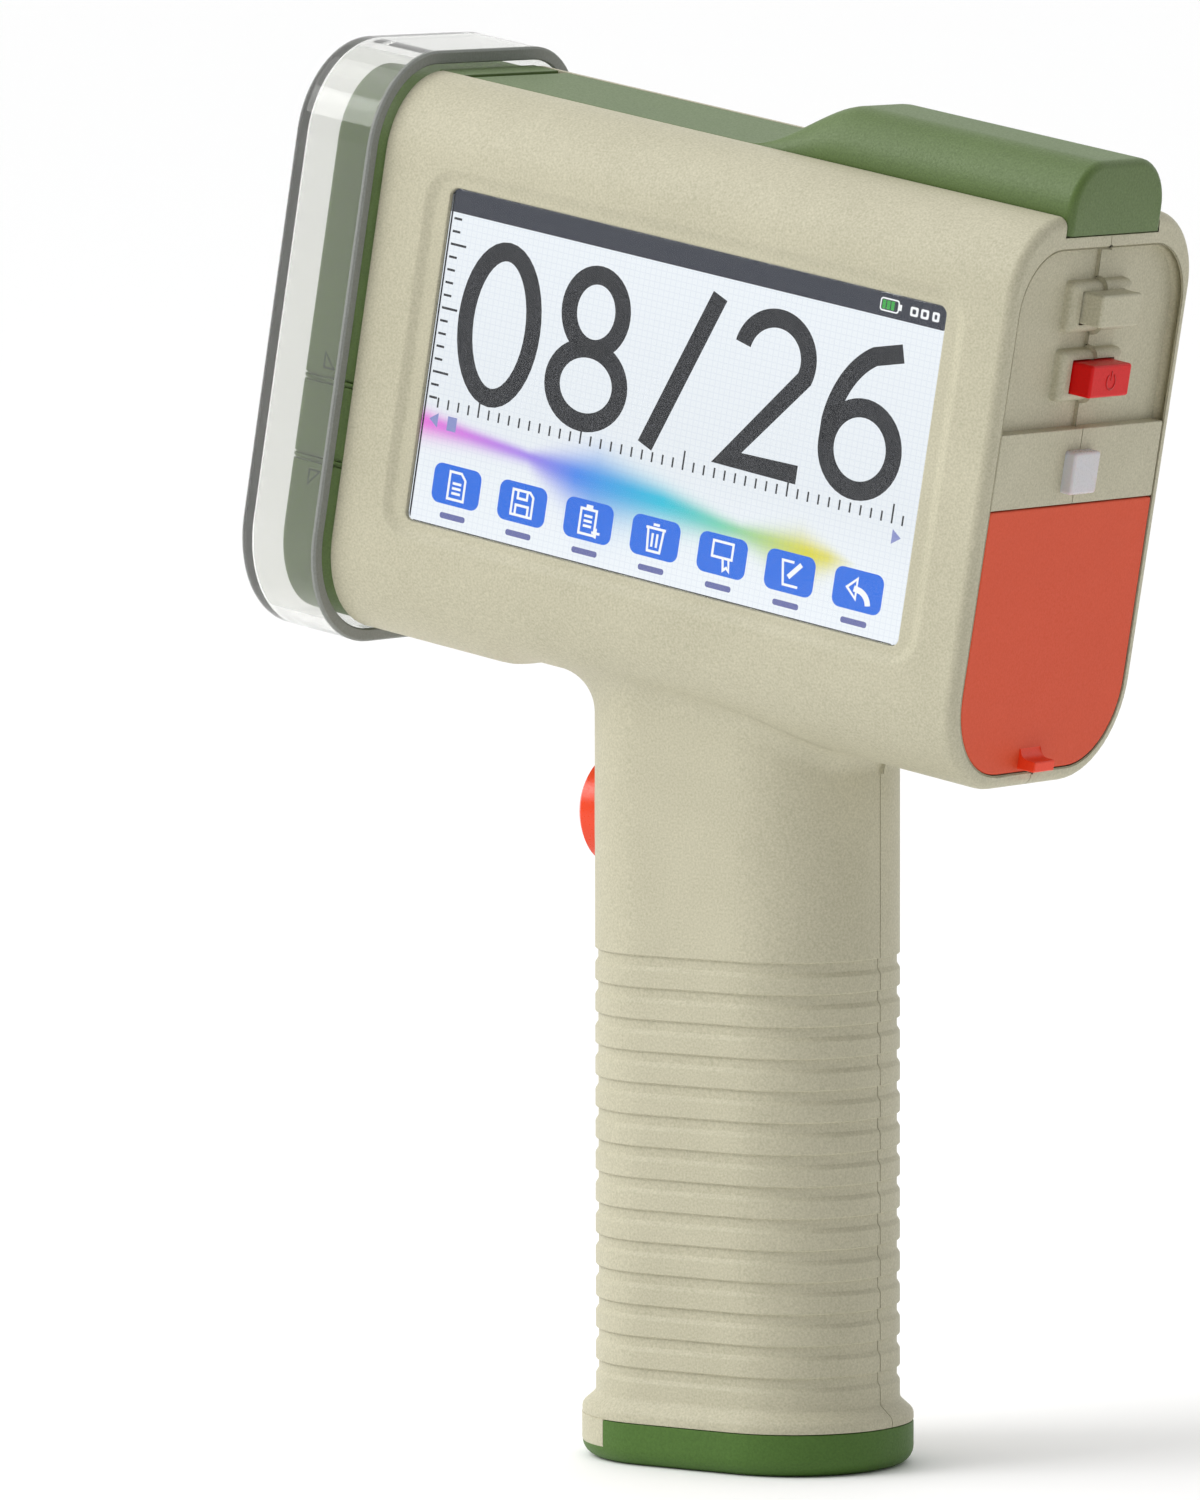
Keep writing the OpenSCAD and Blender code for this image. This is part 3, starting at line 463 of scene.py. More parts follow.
@dataclass(frozen=True)
class Clear:
    """Clear moulded plastic or glass: thin tint, near-mirror skin, a breath of haze, and painted shade that
    greys its colour towards grazing edges.
    """

    name: str
    tint: str
    deep: str = "#ffffff"
    rough: float = 0.03
    ior: float = 1.46
    clear: float = 1.0

    def build(self) -> bpy.types.Material:
        """The material."""
        n = Nodes(self.name)
        haze = n.object_noise(5.0, 3.0)
        n.link(n.spread(haze, self.rough * 0.5, self.rough * 1.5), "Roughness")
        # colour runs from tint towards deep as the skin turns edge-on: painted shade for the darker edges of
        # clear plastic
        edge = n.add("ShaderNodeLayerWeight", {"Blend": 0.35})
        n.link(n.tint(self.tint, self.deep, edge.outputs["Facing"]), "Base Color")
        n.fix(Transmission_Weight=self.clear, IOR=self.ior)
        return n.material


@dataclass(frozen=True)
class Metal:
    """Turned or stamped metal: fine drawn lines and a worn gloss."""

    name: str
    base: str
    rough: float = 0.28

    def build(self) -> bpy.types.Material:
        """The material."""
        n = Nodes(self.name)
        lines = n.object_noise(0.3, 4.0)
        n.link(n.tint(self.base, "#6f7276", n.spread(lines, 0.0, 0.25)), "Base Color")
        n.link(n.spread(lines, self.rough - 0.06, self.rough + 0.1), "Roughness")
        n.fix(Metallic=1.0)
        return n.material


@dataclass(frozen=True)
class Lit:
    """Light from a backlit panel, faintly uneven over its face."""

    name: str
    base: str
    power: float = 1.0

    def build(self) -> bpy.types.Material:
        """The material."""
        n = Nodes(self.name)
        grain = n.object_noise(0.5, 1.0)
        n.glow(n.tint(self.base, "#ffffff", n.spread(grain, 0.0, 0.03)), self.power)
        return n.material


@dataclass(frozen=True)
class Canvas:
    """The lit page: squared paper of fine blue-grey lines under a painted sweep of colour."""

    name: str = "lit_page"
    power: float = 1.0
    squares: tuple[float, float] = (95.0, 54.0)
    line: float = 0.16
    strength: float = 0.10

    def build(self) -> bpy.types.Material:
        """The material."""
        n = Nodes(self.name)
        paint = n.add("ShaderNodeAttribute", attribute_name="paint")
        place = n.add("ShaderNodeSeparateXYZ", {"Vector": n.add("ShaderNodeUVMap").outputs["UV"]})
        lines = []
        for axis, count in (("X", self.squares[0]), ("Y", self.squares[1])):
            part = n.maths("FRACT", n.maths("MULTIPLY", place.outputs[axis], count))
            lines.append(n.maths("LESS_THAN", part, self.line))
        light = n.maths("MULTIPLY", n.maths("MAXIMUM", *lines), self.strength)
        mix = n.add("ShaderNodeMix", {0: light, 6: paint.outputs["Color"]}, data_type="RGBA")
        mix.inputs[7].default_value = linear("#8ea0c8")
        n.glow(mix.outputs[2], self.power)
        return n.material


class Finishes:
    """Every material of the object."""

    def __init__(self) -> None:
        """Makes each material once."""
        # beige casing: warm matte ABS with a fine eroded grain
        self.beige = Moulded("beige_abs", "#c7c2aa", "#aba78f", rough=0.55).build()
        # green lid and nose: same grain, deeper colour
        self.green = Moulded("green_abs", "#587034", "#4a602a", rough=0.5, gloss=0.5).build()
        # foot cap: slightly softer, grippier green
        self.foot = Moulded("green_foot", "#4d702b", "#426224", rough=0.55, depth=0.016).build()
        # see-through cap over the nose, with painted shade greying it towards its grazing edges
        self.cover = Clear("clear_polycarbonate", "#fbfbf9", "#d4d6d1", ior=1.3, clear=0.94).build()
        # the cover's rim: a dull grey band of painted shade, for the darker surround that the clear edge
        # shows
        self.lip = Moulded("painted_rim_shade", "#8d908b", "#80837e", rough=0.6).build()
        # print marks: the nose's green in shade
        self.mark = Moulded("engraved_green", "#2f4419", "#283b15", rough=0.6).build()
        # battery door: flat terracotta
        self.door = Moulded("terracotta_abs", "#d9502c", "#d04a27", rough=0.55).build()
        # the door's pull tab: a purer orange with a little more sheen
        self.tab = Moulded("orange_abs", "#f2421a", "#e83a14", rough=0.4).build()
        # trigger: brighter, glossier orange
        self.trigger = Moulded("orange_trigger", "#f0440f", "#e63c0c", rough=0.3, depth=0.006,
                               gloss=0.45).build()
        # power sign: the button's red, a shade deeper
        self.sign = Moulded("power_sign", "#bd0b09", "#b50907", rough=0.4, depth=0.004, gloss=0.2).build()
        # power button: saturated red with a tight, even gloss
        self.red = Moulded("red_button", "#da0c0a", "#cd0807", rough=0.36, depth=0.006, gloss=0.2).build()
        # diffusing block over the status light
        self.pipe = Moulded("opal_acrylic", "#cfcdcf", "#c4c2c5", rough=0.28, depth=0.004, soft=0.3).build()
        # hardened glass over the page: clear, with a hard mirror edge and a faint painted shade towards
        # grazing angles
        self.glass = Clear("cover_glass", "#f8fafb", "#eef3f4", rough=0.015, ior=1.3).build()
        # roller tyres and gasket: dry, dusty black
        self.rubber = Moulded("black_rubber", "#242528", "#313338", rough=0.75, grain=0.3,
                              depth=0.03).build()
        # inner mouldings: plain dark plastic that keeps the inside quiet
        self.black = Moulded("black_plastic", "#2b2d30", "#232528", rough=0.5).build()
        # ink cartridge: the blackest part, with a soft shine
        self.ink = Moulded("cartridge_black", "#17181b", "#1f2124", rough=0.35).build()
        # battery: blue shrink film, smooth and a little shiny
        self.wrap = Moulded("battery_wrap", "#2f4f70", "#284663", rough=0.3, depth=0.004).build()
        # circuit boards: green lacquer over the weave
        self.board = Moulded("solder_mask", "#1d5a3b", "#174c31", rough=0.35, grain=0.8).build()
        # flex cable and nozzle film: smooth amber
        self.film = Moulded("polyimide_film", "#c78735", "#b8782b", rough=0.3, depth=0.003).build()
        # contacts: warm, bright plating
        self.gold = Metal("gold_plate", "#d0a244", rough=0.2).build()
        # roller hubs: satin turned metal
        self.hub = Metal("turned_aluminium", "#b4b7bb", rough=0.3).build()
        # pins, screws and spring: cold bright plating
        self.steel = Metal("plated_steel", "#c3c6ca", rough=0.24).build()
        # display's dark back and the frame round the page
        self.panel = Moulded("display_back", "#34363e", "#2b2d34", rough=0.45).build()
        # status diode: a dim warm glow
        self.led = Lit("status_diode", "#f4f2dc", power=0.4).build()


# ---------- Casing ----------


@dataclass(frozen=True)
class Casing:
    """The two beige shells: head, neck, ridged grip and flange.

    keys holds the heights of the two buttons' middles; wells the (u, w) or (x, z) of the screws behind.
    """

    half: float = HEAD.half
    top: float = HEAD.top
    drop: float = HEAD.drop
    r_top: float = HEAD.r_top
    r_low: float = HEAD.r_low
    front: float = -61.0
    rear: float = 60.2
    rim_round: float = 1.8
    slot_low: float = 40.7
    wall: float = 2.4
    floor: float = 58.1
    seam: float = 0.1
    grip_half: float = 25.5
    grip_side: float = 17.65
    grip_r: float = 17.0
    foot_half: float = 27.8
    foot_side: float = 19.26
    foot_r: float = 18.6
    window: tuple[float, float, float] = (47.9, 27.15, 1.5)
    step: tuple[float, float, float] = (52.0, 29.95, 5.5)
    hollow: float = 1.7
    keys: tuple[float, float] = (17.65, 28.6)
    key_round: float = 1.4
    key_deep: float = 54.5
    door_deep: float = 50.0
    ridges: int = 14
    ridge_top: float = 82.0
    ridge_pitch: float = 5.1
    ridge_deep: float = 0.5
    trigger_z: float = 103.3
    head_wells: tuple[tuple[float, float], ...] = ((-46.0, -39.0), (2.0, -39.0), (38.0, 35.2))
    grip_wells: tuple[tuple[float, float], ...] = ((8.0, 70.0), (8.0, 24.0))
    well_r: float = 2.6
    n: int = 14

    def path(self, inset: float, low: float | None = None) -> np.ndarray:
        """The head's outline, inset all round, open along the lid's slot: (v, w) points.

        The four corners of round_rect run from the upper left one round the bottom to the upper right
        one, with a slot wall at each end.
        """
        loop = HEAD.outline(-inset, self.n)
        k = self.n + 1
        run = np.concatenate([loop[2 * k:], loop[:2 * k]])
        low = self.slot_low if low is None else low
        return np.concatenate([[[run[0, 0], low]], run, [[run[-1, 0], low]]])

    def scoop(self, u: np.ndarray, turn: np.ndarray) -> np.ndarray:
        """Depth of the finger hollow under the head.

        It is hollow S((u + 33) / 8) S((30 - u) / 30) cos^2(1.3 turn), where S(t) = 3 t^2 - 2 t^3.

        Args:
            u: station along the head.
            turn: angle round the lower corner, 0 on the underside.

        Returns:
            Depth, mm.
        """
        front, back = np.clip((u + 33) / 8, 0, 1), np.clip((30 - u) / 30, 0, 1)
        fade = np.cos(np.minimum(1.3 * np.abs(turn), np.pi / 2)) ** 2
        return self.hollow * front ** 2 * (3 - 2 * front) * back ** 2 * (3 - 2 * back) * fade

    def hollowed(self, rows: np.ndarray) -> np.ndarray:
        """Rows of the head's skin, pushed inwards by the scoop."""
        core = self.half - self.r_low
        a = np.clip(np.abs(rows[..., 1]) - core, 0, None) * np.sign(rows[..., 1])
        b = self.drop + self.r_low - rows[..., 2]
        turn = np.where(b > 0, np.arctan2(a, np.maximum(b, 1e-6)), np.pi / 2)
        deep = self.scoop(rows[..., 0], turn)
        return rows + np.stack([0 * deep, -deep * np.sin(turn), deep * np.cos(turn)], -1)

    def opening(self, grow: float) -> np.ndarray:
        """Loop of the rear end's opening."""
        return round_rect(23.5, -46.0, 38.0, 13.5, 10.0, grow, self.n)

    def pane(self, size: tuple[float, float, float], grow: float) -> np.ndarray:
        """Loop of a screen opening given as half width, half height and corner radius."""
        return round_rect(size[0], -size[1], size[1], size[2], size[2], grow, 8)

    def surround(self, middle: float, grow: float) -> np.ndarray:
        """Loop of the raised surround of the button at a height."""
        return round_rect(8.55, middle - 4.1, middle + 4.1, 0.9, 0.9, grow, 8, shift=0.35)

    def plate_loop(self, grow: float) -> np.ndarray:
        """Loop of the flat plate between the buttons and the door."""
        return round_rect(23.41, -2.9, 9.2, 0.3, 0.3, grow, 6)

    def head(self, skin: Skin) -> None:
        """Outer skin, rear rim, recess, button surrounds, window and inner wall of the head."""
        lift, n = along(), self.n
        start, stop = self.front + 0.3, self.rear - self.rim_round
        count = 84
        stations = np.linspace(start, stop, count)
        rows = self.hollowed(np.stack([lift(self.path(0.0), u) for u in stations]))
        for a, b in ((0, n + 2), (n + 2, 3 * n + 4), (3 * n + 4, 4 * n + 6)):
            skin.grid(rows[:, a:b])
        edge = roll(self.rim_round, 8)
        skin.sweep([self.path(d) for _, d in edge], lift, [self.rear + a for a, _ in edge], closed=False)
        skin.sweep([self.path(d) for d in (2.4, 0.5, 0.3, 0.09, 0.0)], lift,
                   [self.front, self.front, self.front, self.front + 0.09, start], closed=False)
        liner = np.stack([lift(self.path(self.wall), u) for u in (self.front, self.floor - self.wall)])
        skin.grid(liner[:, :n + 2])
        skin.grid(liner[:, n + 2:])
        # the two flat sides, one of them with the window's step
        low, high = self.drop + self.r_low, self.top - self.r_top
        side = np.concatenate([np.stack([stations, np.full(count, low)], 1),
                               np.stack([stations[::-1], np.full(count, high)], 1)])
        step, window = self.step, self.window
        skin.flat(side, [], across(self.half))
        skin.flat(side, [self.pane(step, 0.35)], across(-self.half))
        shape = [(step, 0.35, 0.0), (step, 0.1, 0.03), (step, -0.3, 0.16), (step, -1.2, 0.62),
                 (step, -1.7, 0.76), (step, -2.2, 0.8), (window, 0.3, 0.8), (window, 0.09, 0.89),
                 (window, 0.0, 1.1), (window, 0.0, 2.6)]
        skin.sweep([self.pane(q, g) for q, g, _ in shape], across(0), [-self.half + d for _, _, d in shape])
        # rear face, from the rim down into the recess
        notch, half_notch, edge_r = 40.0, 13.5, 0.3
        face = self.path(self.rim_round, low=notch)
        skin.flat(face, [self.opening(edge_r)], along(self.rear))
        ends = (self.floor - self.wall, self.rear)
        skin.grid(np.array([[[u, v, notch] for v in (-half_notch, half_notch)] for u in ends]))
        inner = roll(edge_r, 4)
        skin.sweep([self.opening(g) for g in (*(edge_r - inner[::-1, 1]), 0.0, -0.08)], lift,
                   [self.rear, *(self.rear - edge_r - inner[::-1, 0])[1:], self.floor + 0.3, self.floor])
        door = [round_rect(22.7, -45.2, -3.4, 12.7, 0.3, 0.0, n)] * 2
        holes = [door[0]]
        out = roll(self.key_round, 7)
        grows = (0.3, 0.08, 0.0, *(-out[:, 1]))
        rises = [self.floor, self.floor + 0.08, self.floor + 0.3, *(self.rear + out[:, 0])]
        for middle in self.keys:
            hole = round_rect(6.0, middle - 2.9, middle + 2.9, 0.4, 0.4, 0.0, 5)
            holes.append(self.surround(middle, 0.3))
            skin.sweep([self.surround(middle, g) for g in grows], lift, rises)
            skin.flat(self.surround(middle, -self.key_round), [hole], along(self.rear))
            skin.sweep([hole] * 2, lift, [self.rear, self.key_deep])
        skin.flat(self.opening(-0.08), holes, along(self.floor))
        skin.sweep(door, lift, [self.floor, self.door_deep])

    def plate(self, skin: Skin) -> None:
        """Flat plate between the buttons and the door; the opal block stands through it."""
        edge_r = 0.2
        edge = roll(edge_r, 4)
        skin.sweep([self.plate_loop(g) for g in (0.0, *(-edge[:, 1]))], along(),
                   [self.floor - 0.5, *(self.rear + edge[:, 0])])
        skin.flat(self.plate_loop(-edge_r), [], along(self.rear))

    def grip_ring(self, inset: float, flare: float, n: int = 26) -> np.ndarray:
        """Loop of the grip's section, inset by a groove or flared towards the flange."""
        a = round_rect(self.grip_half, -self.grip_side, self.grip_side, self.grip_r, self.grip_r, -inset, n)
        b = round_rect(self.foot_half, -self.foot_side, self.foot_side, self.foot_r, self.foot_r, 0.0, n)
        corners = (a + (b - a) * flare).reshape(4, n + 1, 2)
        step = np.linspace(0, 1, 14)[1:-1, None]
        gaps = corners[:, -1:] + (np.roll(corners, -1, 0)[:, :1] - corners[:, -1:]) * step
        return np.concatenate([corners, gaps], 1).reshape(-1, 2)

    def grip(self, skin: Skin) -> None:
        """Ridged grip: each ridge has a sloped upper edge and a sharp lower one, then the flange."""
        deep = self.ridge_deep
        smooth = (128.0, *np.arange(113.5, 93.0, -1.1), 88.0)
        groove = ((0.12, 0.0), (0.0, 0.1), (-0.03, deep - 0.08), (-0.15, deep), (-1.55, deep),
                  (-1.75, deep - 0.08), (-2.3, 0.06), (-2.5, 0.0))
        flange = ((10.9, 0.0), (10.35, 0.05), (9.9, 0.25), (8.75, 0.84), (8.4, 0.95), (8.0, 1.0), (7.2, 1.0),
                  (6.98, 0.96), (6.95, 0.3))
        levels = [(z, 0.0, 0.0) for z in smooth]
        for i in range(self.ridges):
            levels += [(self.ridge_top - i * self.ridge_pitch + dz, inset, 0.0) for dz, inset in groove]
        levels += [(z, 0.0, flare) for z, flare in flange]
        skin.sweep([self.grip_ring(d, t) for _, d, t in levels], level_xy(), [z for z, _, _ in levels])

    def neck(self, skin: Skin) -> None:
        """Fillet from the grip to the head's underside.

        It is what a ball of radius r leaves as it rolls round the corner. Each column is an arc about a
        point that lies r outside both: p = foot + r (sin((1 - t) a) start + sin(t a) stop) / sin(a),
        where a is the angle between the two ways of contact. The ball's height is found by halving.
        """
        core = self.half - self.r_low

        def head(p: np.ndarray) -> np.ndarray:
            """Distance of points from the head's underside, its finger hollow counted in."""
            q = HEAD.local(p)
            a = np.maximum(np.abs(q[..., 1]) - core, 0)
            b = np.maximum(self.drop + self.r_low - q[..., 2], 0)
            return np.hypot(a, b) - self.r_low + self.scoop(q[..., 0], np.arctan2(a, np.maximum(b, 1e-6)))

        ring = self.grip_ring(0.0, 0.0)
        out = np.roll(ring, -1, 0) - np.roll(ring, 1, 0)
        out = np.stack([out[:, 1], -out[:, 0]], 1) / np.linalg.norm(out, axis=1)[:, None]
        r = 6.0 - 2.0 * out[:, 0] - 0.4 * out[:, 0] ** 2
        lowest, highest, halvings = 60.0, 150.0, 40
        foot = np.concatenate([ring + out * r[:, None], np.full((len(ring), 1), lowest)], 1)
        low, high = np.full(len(ring), lowest), np.full(len(ring), highest)
        for _ in range(halvings):
            mid = (low + high) / 2
            foot[:, 2] = mid
            near = head(foot) > r
            low, high = np.where(near, mid, low), np.where(near, high, mid)
        step = 0.01
        slope = np.stack([(head(foot + np.eye(3)[k] * step) - head(foot)) / step for k in range(3)], 1)
        slope /= np.linalg.norm(slope, axis=1)[:, None]
        start = np.concatenate([-out, np.zeros((len(out), 1))], 1)
        turn = np.arccos(np.clip((start * -slope).sum(1), -1, 1))
        t = np.linspace(0, 1, 22)[:, None, None]
        first, last = np.sin((1 - t) * turn[:, None]) * start, np.sin(t * turn[:, None]) * slope
        ways = (first - last) / np.sin(turn)[:, None]
        bury = 0.01
        skin.grid(foot + ways * (r[:, None] - bury), closed=True)

    def pierce(self, skin: Skin, at: Callable[[np.ndarray, np.ndarray, float], np.ndarray],
               centre: tuple[float, float], inner: float, outer: float, deep: float) -> None:
        """Round hole with a broken edge and a smooth collar that lies on the skin round it.

        Args:
            skin: the skin, from which the faces under the hole are left out first.
            at: (a, b, off) to the skin's point there, off millimetres outwards.
            centre: the hole's middle, as (a, b).
            inner, outer: radii of the hole and of its collar.
            deep: depth of the hole's wall.
        """
        middle = at(np.array([centre[0]]), np.array([centre[1]]), 0.0)[0]
        skin.drop(middle, inner + 0.9)
        t = np.linspace(0, 2 * np.pi, 56, endpoint=False)
        shape = [(outer, -0.08), (outer - 0.7, 0.05), (inner + 0.35, 0.05), (inner + 0.1, 0.0),
                 (inner, -0.15), (inner, -deep)]
        rings = [at(centre[0] + r * np.cos(t), centre[1] + r * np.sin(t), off) for r, off in shape]
        skin.grid(np.stack(rings), closed=True)

    def on_back(self, a: np.ndarray, b: np.ndarray, off: float) -> np.ndarray:
        """Point of the head's back at (u, w)."""
        low = np.clip(self.drop + self.r_low - b, 0, None)
        high = np.clip(b - self.top + self.r_top, 0, None)
        v = np.where(b < 0, self.half - self.r_low + np.sqrt(self.r_low ** 2 - low ** 2),
                     self.half - self.r_top + np.sqrt(self.r_top ** 2 - high ** 2))
        return np.stack([a, v + off, b], -1)

    def on_grip(self, a: np.ndarray, b: np.ndarray, off: float) -> np.ndarray:
        """Point of the grip's back at (x, z)."""
        return np.stack([a, np.full_like(a, self.grip_side + off), b], -1)

    def on_front(self, a: np.ndarray, b: np.ndarray, off: float) -> np.ndarray:
        """Point of the grip's front at (y, z)."""
        past = np.clip(np.abs(a) - self.grip_side + self.grip_r, 0, None)
        x = self.grip_r - self.grip_half - np.sqrt(self.grip_r ** 2 - past ** 2)
        return np.stack([x - off, a, b], -1)

    def build(self, paint: Finishes) -> None:
        """Both shells, each cut at the seam."""
        for side, name in ((-1, "front_casing"), (1, "back_casing")):
            head = Skin(name)
            self.head(head)
            self.plate(head)
            low = Skin(name + "_grip")
            self.grip(low)
            self.pierce(low, self.on_front, (0.0, self.trigger_z), 8.75, 11.2, 2.0)
            if side > 0:
                for spot in self.head_wells:
                    self.pierce(head, self.on_back, spot, self.well_r, 4.9, 9.0)
                for spot in self.grip_wells:
                    self.pierce(low, self.on_grip, spot, self.well_r, 4.4, 9.0)
            self.neck(low)
            merged = Skin(name)
            for part, place in ((head, HEAD.place), (low, upright)):
                merged.take(part, place)
            node = "front_shell" if side < 0 else "back_shell"
            if side < 0:
                self.tongue(merged)
            mesh = merged.mesh(upright, cut=(side * self.seam, side))
            put(mesh, Dress(Body.CASING, "beige_abs", paint.beige, (node,)))

    def tongue(self, skin: Skin) -> None:
        """Front tongue of the flange, let into the foot cap."""
        ring = self.grip_ring(0.0, 1.0)
        k, reach, far = len(ring), 16.0, 99
        start = int(np.argmin(np.where(ring[:, 1] > 0, np.abs(ring[:, 0] + reach), far)))
        stop = int(np.argmin(np.where(ring[:, 1] < 0, np.abs(ring[:, 0] + reach), far)))
        part = ring[np.arange(start, stop + 1 if stop > start else stop + k + 1) % k]
        out = part / np.linalg.norm(part, axis=1)[:, None]
        shape = [(7.05, -0.3), (7.0, 0.06), (2.9, 0.06), (2.55, -0.02), (2.4, -0.15), (2.4, -1.0)]
        body = np.stack([level_xy()(part + out * g, z) for z, g in shape])
        sink = (0.97, 0.97, 1)
        body = np.concatenate([body[:, :1] * sink, body, body[:, -1:] * sink], 1)
        skin.grid(body)


@dataclass(frozen=True)
class Foot:
    """Green cap that the printer stands on."""

    half: float = 27.8
    side: float = 19.26
    corner: float = 18.6
    height: float = 6.9
    edge: float = 2.8
    screw_y: float = 11.65
    well: float = 2.6
    well_deep: float = 2.4

    def ring(self, inset: float) -> np.ndarray:
        """Loop of the cap's outline, inset all round."""
        return round_rect(self.half, -self.side, self.side, self.corner, self.corner, -inset, 26)

    def build(self, paint: Finishes) -> None:
        """The cap, with its rounded lower edge and two screw wells."""
        skin = Skin("foot_cap_visual")
        turn = np.radians(np.linspace(90, 0, 10))
        shape = [(self.edge * (1 - math.sin(a)), self.edge * (1 - math.cos(a))) for a in turn]
        shape += [(self.height - 0.4, 0.0), (self.height - 0.1, 0.08), (self.height - 0.02, 0.3),
                  (self.height, 4.5)]
        skin.sweep([self.ring(d) for _, d in shape], level_xy(), [z for z, _ in shape])
        wells = [circle((0.0, side * self.screw_y), self.well) for side in (-1, 1)]
        skin.flat(self.ring(self.edge), wells, level_xy(0.0))
        for hole in wells:
            skin.sweep([hole, hole], level_xy(), [0.0, self.well_deep])
        put(skin.mesh(upright), Dress(Body.CASING, "green_foot", paint.foot, ("foot_cap",)))


@dataclass(frozen=True)
class Lid:
    """Cartridge lid: a flat tongue that ramps up to a bulge over the cartridge's tail."""

    half: float = 13.3
    top: float = 43.2
    front: float = -56.5
    knuckle: float = 2.0
    rise: float = 8.8
    ramp_start: float = -1.0
    ramp_len: float = 17.0
    round: float = 7.6
    end: float = 60.7
    end_round: float = 1.3
    base: float = 41.0
    end_base: float = 40.35
    edge: float = 0.4
    wall: float = 2.0

    def section(self, top: float, r: float, base: float, inset: float = 0.0) -> np.ndarray:
        """Open (v, w) path up one side, over the top and down the other."""
        h = self.half - inset
        return np.concatenate([[[-h, base]], arc((r - h, top - r), r, 180, 90, 10),
                               arc((h - r, top - r), r, 90, 0, 10), [[h, base]]])

    def build(self, paint: Finishes) -> None:
        """The lid's shell; its height over the ramp is rise (1 - cos(pi t)) / 2."""
        skin = Skin("cartridge_lid_visual")
        centre = self.front + self.knuckle
        rows = []
        for a in np.radians(np.linspace(175, 90, 8)):
            top = self.top - self.knuckle + self.knuckle * math.sin(a)
            r = min(self.edge, (top - self.base) * 0.8)
            rows.append((centre + self.knuckle * math.cos(a), top, r, self.base, 0.0))
        rows += [(u, self.top, self.edge, self.base, 0.0) for u in np.linspace(-52, self.ramp_start, 16)]
        for t in np.linspace(0.03, 1, 28):
            h = self.rise * (1 - math.cos(math.pi * t)) / 2
            rows.append((self.ramp_start + self.ramp_len * t, self.top + h,
                         self.edge + self.round * (h / self.rise) ** 0.8, self.base, 0.0))
        full, corner, foot = self.top + self.rise, self.edge + self.round, self.end_base
        rows += [(u, full, corner, self.base, 0.0) for u in np.linspace(18, 58.3, 12)]
        rows.append((58.35, full, corner, foot, 0.0))
        rows += [(self.end + a, full - d, corner - d, foot, d) for a, d in roll(self.end_round, 7)]
        skin.grid(np.stack([along()(self.section(top, r, base, d), u) for u, top, r, base, d in rows]))
        last = self.section(full - self.end_round, corner - self.end_round, foot, self.end_round)
        skin.flat(last, [], along(self.end))
        put(skin.mesh(sharp=50), Dress(Body.LID, "green_abs", paint.green, ("cartridge_lid",)),
            solid=self.wall)


def soft_block(skin: Skin, u: tuple[float, float], v: tuple[float, float], w: tuple[float, float],
               corner: float = 0.5, edge: float = 0.5) -> None:
    """Block along the head with round corners and a rolled edge round its rear face."""
    half, shift = (v[1] - v[0]) / 2, (v[1] + v[0]) / 2
    turn = roll(edge, 6)
    rings = [round_rect(half, w[0], w[1], corner, corner, -d, 6, shift) for d in (0, *turn[:, 1])]
    skin.flat(rings[0], [], along(u[0]))
    skin.sweep(rings, along(), [u[0], *(u[1] + turn[:, 0])])
    skin.flat(rings[-1], [], along(u[1]))


def ribbon(skin: Skin, path: np.ndarray, width: float, lift: Lift, closed: bool = False) -> None:
    """Flat stroke of one width along a plane path, mitred at its bends."""
    step = (np.roll(path, -1, 0) - path) if closed else np.diff(path, axis=0)
    step = step / np.maximum(np.linalg.norm(step, axis=1), 1e-9)[:, None]
    before = np.roll(step, 1, 0) if closed else np.concatenate([step[:1], step])
    after = step if closed else np.concatenate([step, step[-1:]])
    side = before + after
    side = np.stack([-side[:, 1], side[:, 0]], 1)
    side /= np.maximum(np.linalg.norm(side, axis=1), 1e-9)[:, None]
    reach = np.clip(1 / np.maximum((side * np.stack([-after[:, 1], after[:, 0]], 1)).sum(1), 0.5), 1, 2)
    side *= (width / 2 * reach)[:, None]
    skin.grid(np.stack([lift(path - side), lift(path + side)]), closed)


def spun(skin: Skin, profile: np.ndarray, u: float, w: float, n: int = 56) -> None:
    """Surface of revolution about the cross axis through (u, w); profile rows are (v, radius)."""
    t = np.linspace(0, 2 * np.pi, n, endpoint=False)
    v, r = profile[:, :1], profile[:, 1:]
    skin.grid(np.stack([u + r * np.cos(t), v + 0 * t, w + r * np.sin(t)], -1), closed=True)


